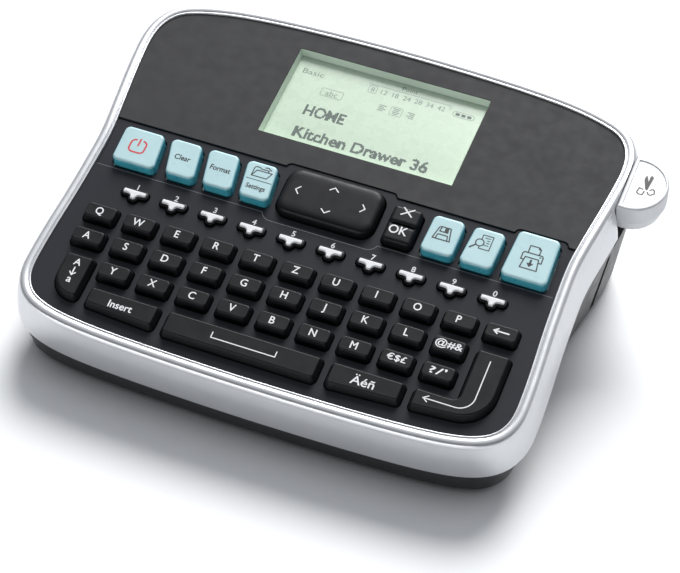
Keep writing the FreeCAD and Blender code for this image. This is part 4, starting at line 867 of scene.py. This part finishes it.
# ---------------------------------------------------------------- display content
GLASS_H = -2.45
faint, dark = Print(), Print()
faint.text("Basic", -23.3, 37.3, high=1.9, wide=6.6)
faint.text("abc", -15.4, 31.4, wide=3.7)
faint.line(box_line(-15.4, 31.5, 6.6, 2.9, 0.4), 0.16, True)
faint.text("Point", 5.6, 40.6, high=1.6, wide=4.8)
faint.line([(-6.6, 39.2), (18.8, 39.2), (18.8, 37.6)], 0.12)
for k, word in enumerate(("8", "12", "18", "24", "28", "34", "42")):
    faint.text(word, -4.8 + 3.52 * k, 37.3, high=1.7)
faint.line(box_line(-4.8, 37.3, 2.4, 2.8, 0.4), 0.14, True)
for k, x in enumerate((0.2, 4.5, 8.9)):
    for i in range(4):
        wide = 2.2 if i % 2 == 0 else 1.5
        shift = (-0.35 + 0.35 * k) if i % 2 else 0.0
        faint.line([(x + shift - wide / 2, 32.5 - 0.65 * i), (x + shift + wide / 2, 32.5 - 0.65 * i)], 0.3)
faint.line(box_line(4.5, 31.55, 3.5, 3.2, 0.4), 0.14, True)
faint.line(box_line(23.3, 36.8, 6.4, 1.9, 0.8), 0.16, True)
for k in range(3):
    dark.patch(rounded(rectangle(20.9 + 1.75 * k, 22.2 + 1.75 * k, 36.3, 37.3, 0.3), 0, 3))


DOT_PITCH, DOT_HALF, DOT_BOLD = 0.36, 0.176, 0.028
LINE_LEFT, LINE_HIGH = -20.6, 3.9


def dotted(sign, text, v, wide):
    """Line of text built from the square dots of a graphic display."""
    points, faces = text_shape(text, DOT_BOLD)
    x0, x1 = min(p[0] for p in points), max(p[0] for p in points)
    triangles = []
    for face in faces:
        loop = [Vector((LINE_LEFT + (points[i][0] - x0) * wide / (x1 - x0),
                        v + points[i][1] * LINE_HIGH - LINE_HIGH / 2)) for i in face]
        triangles += [(loop[0], loop[i], loop[i + 1]) for i in range(1, len(loop) - 1)]
    spots = set()
    for a, b, c in triangles:
        xs, vs = (a.x, b.x, c.x), (a.y, b.y, c.y)
        area = (b - a).cross(c - a)
        if abs(area) < 1e-9:
            continue
        for i in range(math.floor(min(xs) / DOT_PITCH), math.ceil(max(xs) / DOT_PITCH) + 1):
            for j in range(math.floor(min(vs) / DOT_PITCH), math.ceil(max(vs) / DOT_PITCH) + 1):
                p = Vector((i * DOT_PITCH, j * DOT_PITCH))
                u, w = (p - a).cross(c - a) / area, (b - a).cross(p - a) / area
                if u >= 0 and w >= 0 and u + w <= 1:
                    spots.add((i, j))
    corners = ((-DOT_HALF, -DOT_HALF), (DOT_HALF, -DOT_HALF), (DOT_HALF, DOT_HALF), (-DOT_HALF, DOT_HALF))
    for i, j in sorted(spots):
        sign.patch(moved(corners, i * DOT_PITCH, j * DOT_PITCH))


def make_window_rim():
    """Sloped pale rim round the display, from the panel surface down to the glass; its colour is painted
    lighter to offset the shadow that falls on it.
    """
    section = [(-0.08, -0.12), (-0.70, -2.32), (-0.60, -2.36), (-0.02, -0.2)]
    window = rectangle(-29.5, 29.5, 9.5, 43.1, 0.35)
    rings = [ring(rounded(window, grow, 4), h) for grow, h in section]
    faces = looped_faces(len(section), len(rings[0]))
    finished("window_rim", [p for points in rings for p in points], faces, PANEL, "case", [LIGHTENED_RIM])


make_window_rim()
dotted(dark, "HOME", 23.4, 12.4)
dotted(dark, "Kitchen Drawer 36", 14.9, 41.0)
faint.make("display_signs", PANEL, GLASS_H + LIFT, "case", LCD_FAINT)
dark.make("display_text", PANEL, GLASS_H + LIFT, "case", LCD_DARK)


# ---------------------------------------------------------------- floor, lights and camera
FLOOR_HALF = 6           # metres


def make_floor():
    mesh = bpy.data.meshes.new("floor")
    corners = [(sx * FLOOR_HALF, sy * FLOOR_HALF, 0) for sx, sy in ((-1, -1), (1, -1), (1, 1), (-1, 1))]
    mesh.from_pydata(corners, [], [(0, 1, 2, 3)])
    mat, tree, shader = new_material("white_sweep")
    tone = mixed(tree, ranged(tree, noise(tree, 2.0), 0.0, 1.0), (0.93, 0.935, 0.95), (0.95, 0.955, 0.965))
    tree.links.new(tone, shader.inputs["Base Color"])
    shader.inputs["Roughness"].default_value = 0.6
    shader.inputs["Specular IOR Level"].default_value = 0.2
    mesh.materials.append(mat)
    linked("floor", mesh)


def area_light(name, place, aim, wide, deep, watts):
    light = bpy.data.lights.new(name, "AREA")
    light.shape, light.size, light.size_y, light.energy = "RECTANGLE", wide, deep, watts
    lamp = linked(name, light)
    lamp.location = place
    lamp.rotation_mode = "QUATERNION"
    lamp.rotation_quaternion = (Vector(aim) - Vector(place)).to_track_quat("-Z", "Y")


def soft_sun(name, towards, strength, spread):
    """Distant soft light that shines from a direction."""
    light = bpy.data.lights.new(name, "SUN")
    light.energy, light.angle = strength, spread
    lamp = linked(name, light)
    lamp.rotation_mode = "QUATERNION"
    lamp.rotation_quaternion = (-Vector(towards)).to_track_quat("-Z", "Y")


make_floor()
soft_sun("back_light", (-0.10, 0.84, 0.84), strength=3.7, spread=0.6)
area_light("low_front_fill", (-0.25, -1.1, 0.045), aim=(0, 0, 0.03), wide=1.4, deep=0.07, watts=3.6)


def make_studio():
    """Bright ceiling and back wall that fall off towards a dim front."""
    world = bpy.data.worlds.new("studio")
    world.use_nodes = True
    tree = world.node_tree
    where = tree.nodes.new("ShaderNodeTexCoord")
    turn = tree.nodes.new("ShaderNodeVectorMath")
    turn.operation = "DOT_PRODUCT"
    turn.inputs[1].default_value = (0.0, 0.5, 0.8)
    tree.links.new(where.outputs["Generated"], turn.inputs[0])
    lift = ranged(tree, turn.outputs["Value"], 0.0, 0.92, 0.0, 0.9)
    tree.links.new(mixed(tree, lift, (0.02, 0.024, 0.03), (0.70, 0.72, 0.75)),
                   tree.nodes["Background"].inputs["Color"])
    bpy.context.scene.world = world


make_studio()
bpy.context.scene.view_settings.view_transform = "Standard"

# camera fitted to the photograph's key grid: axes to the right, up and backwards, then its place
CAMERA_SIDE = (0.9312, 0.3598, 0.0577)
CAMERA_UP = (-0.2815, 0.6097, 0.7410)
CAMERA_BACK = (0.2314, -0.7063, 0.6690)
CAMERA_PLACE = (0.1603, -0.4781, 0.4595)
lens = bpy.data.cameras.new("camera")
lens.lens, lens.sensor_width, lens.sensor_fit = 124.1, 36.0, "HORIZONTAL"
lens.clip_start, lens.clip_end = 0.05, 20.0
camera = linked("camera", lens)
turned = Matrix((CAMERA_SIDE, CAMERA_UP, CAMERA_BACK)).transposed().to_4x4()
camera.matrix_world = Matrix.Translation(CAMERA_PLACE) @ turned
bpy.context.scene.camera = camera

bpy.context.view_layer.update()
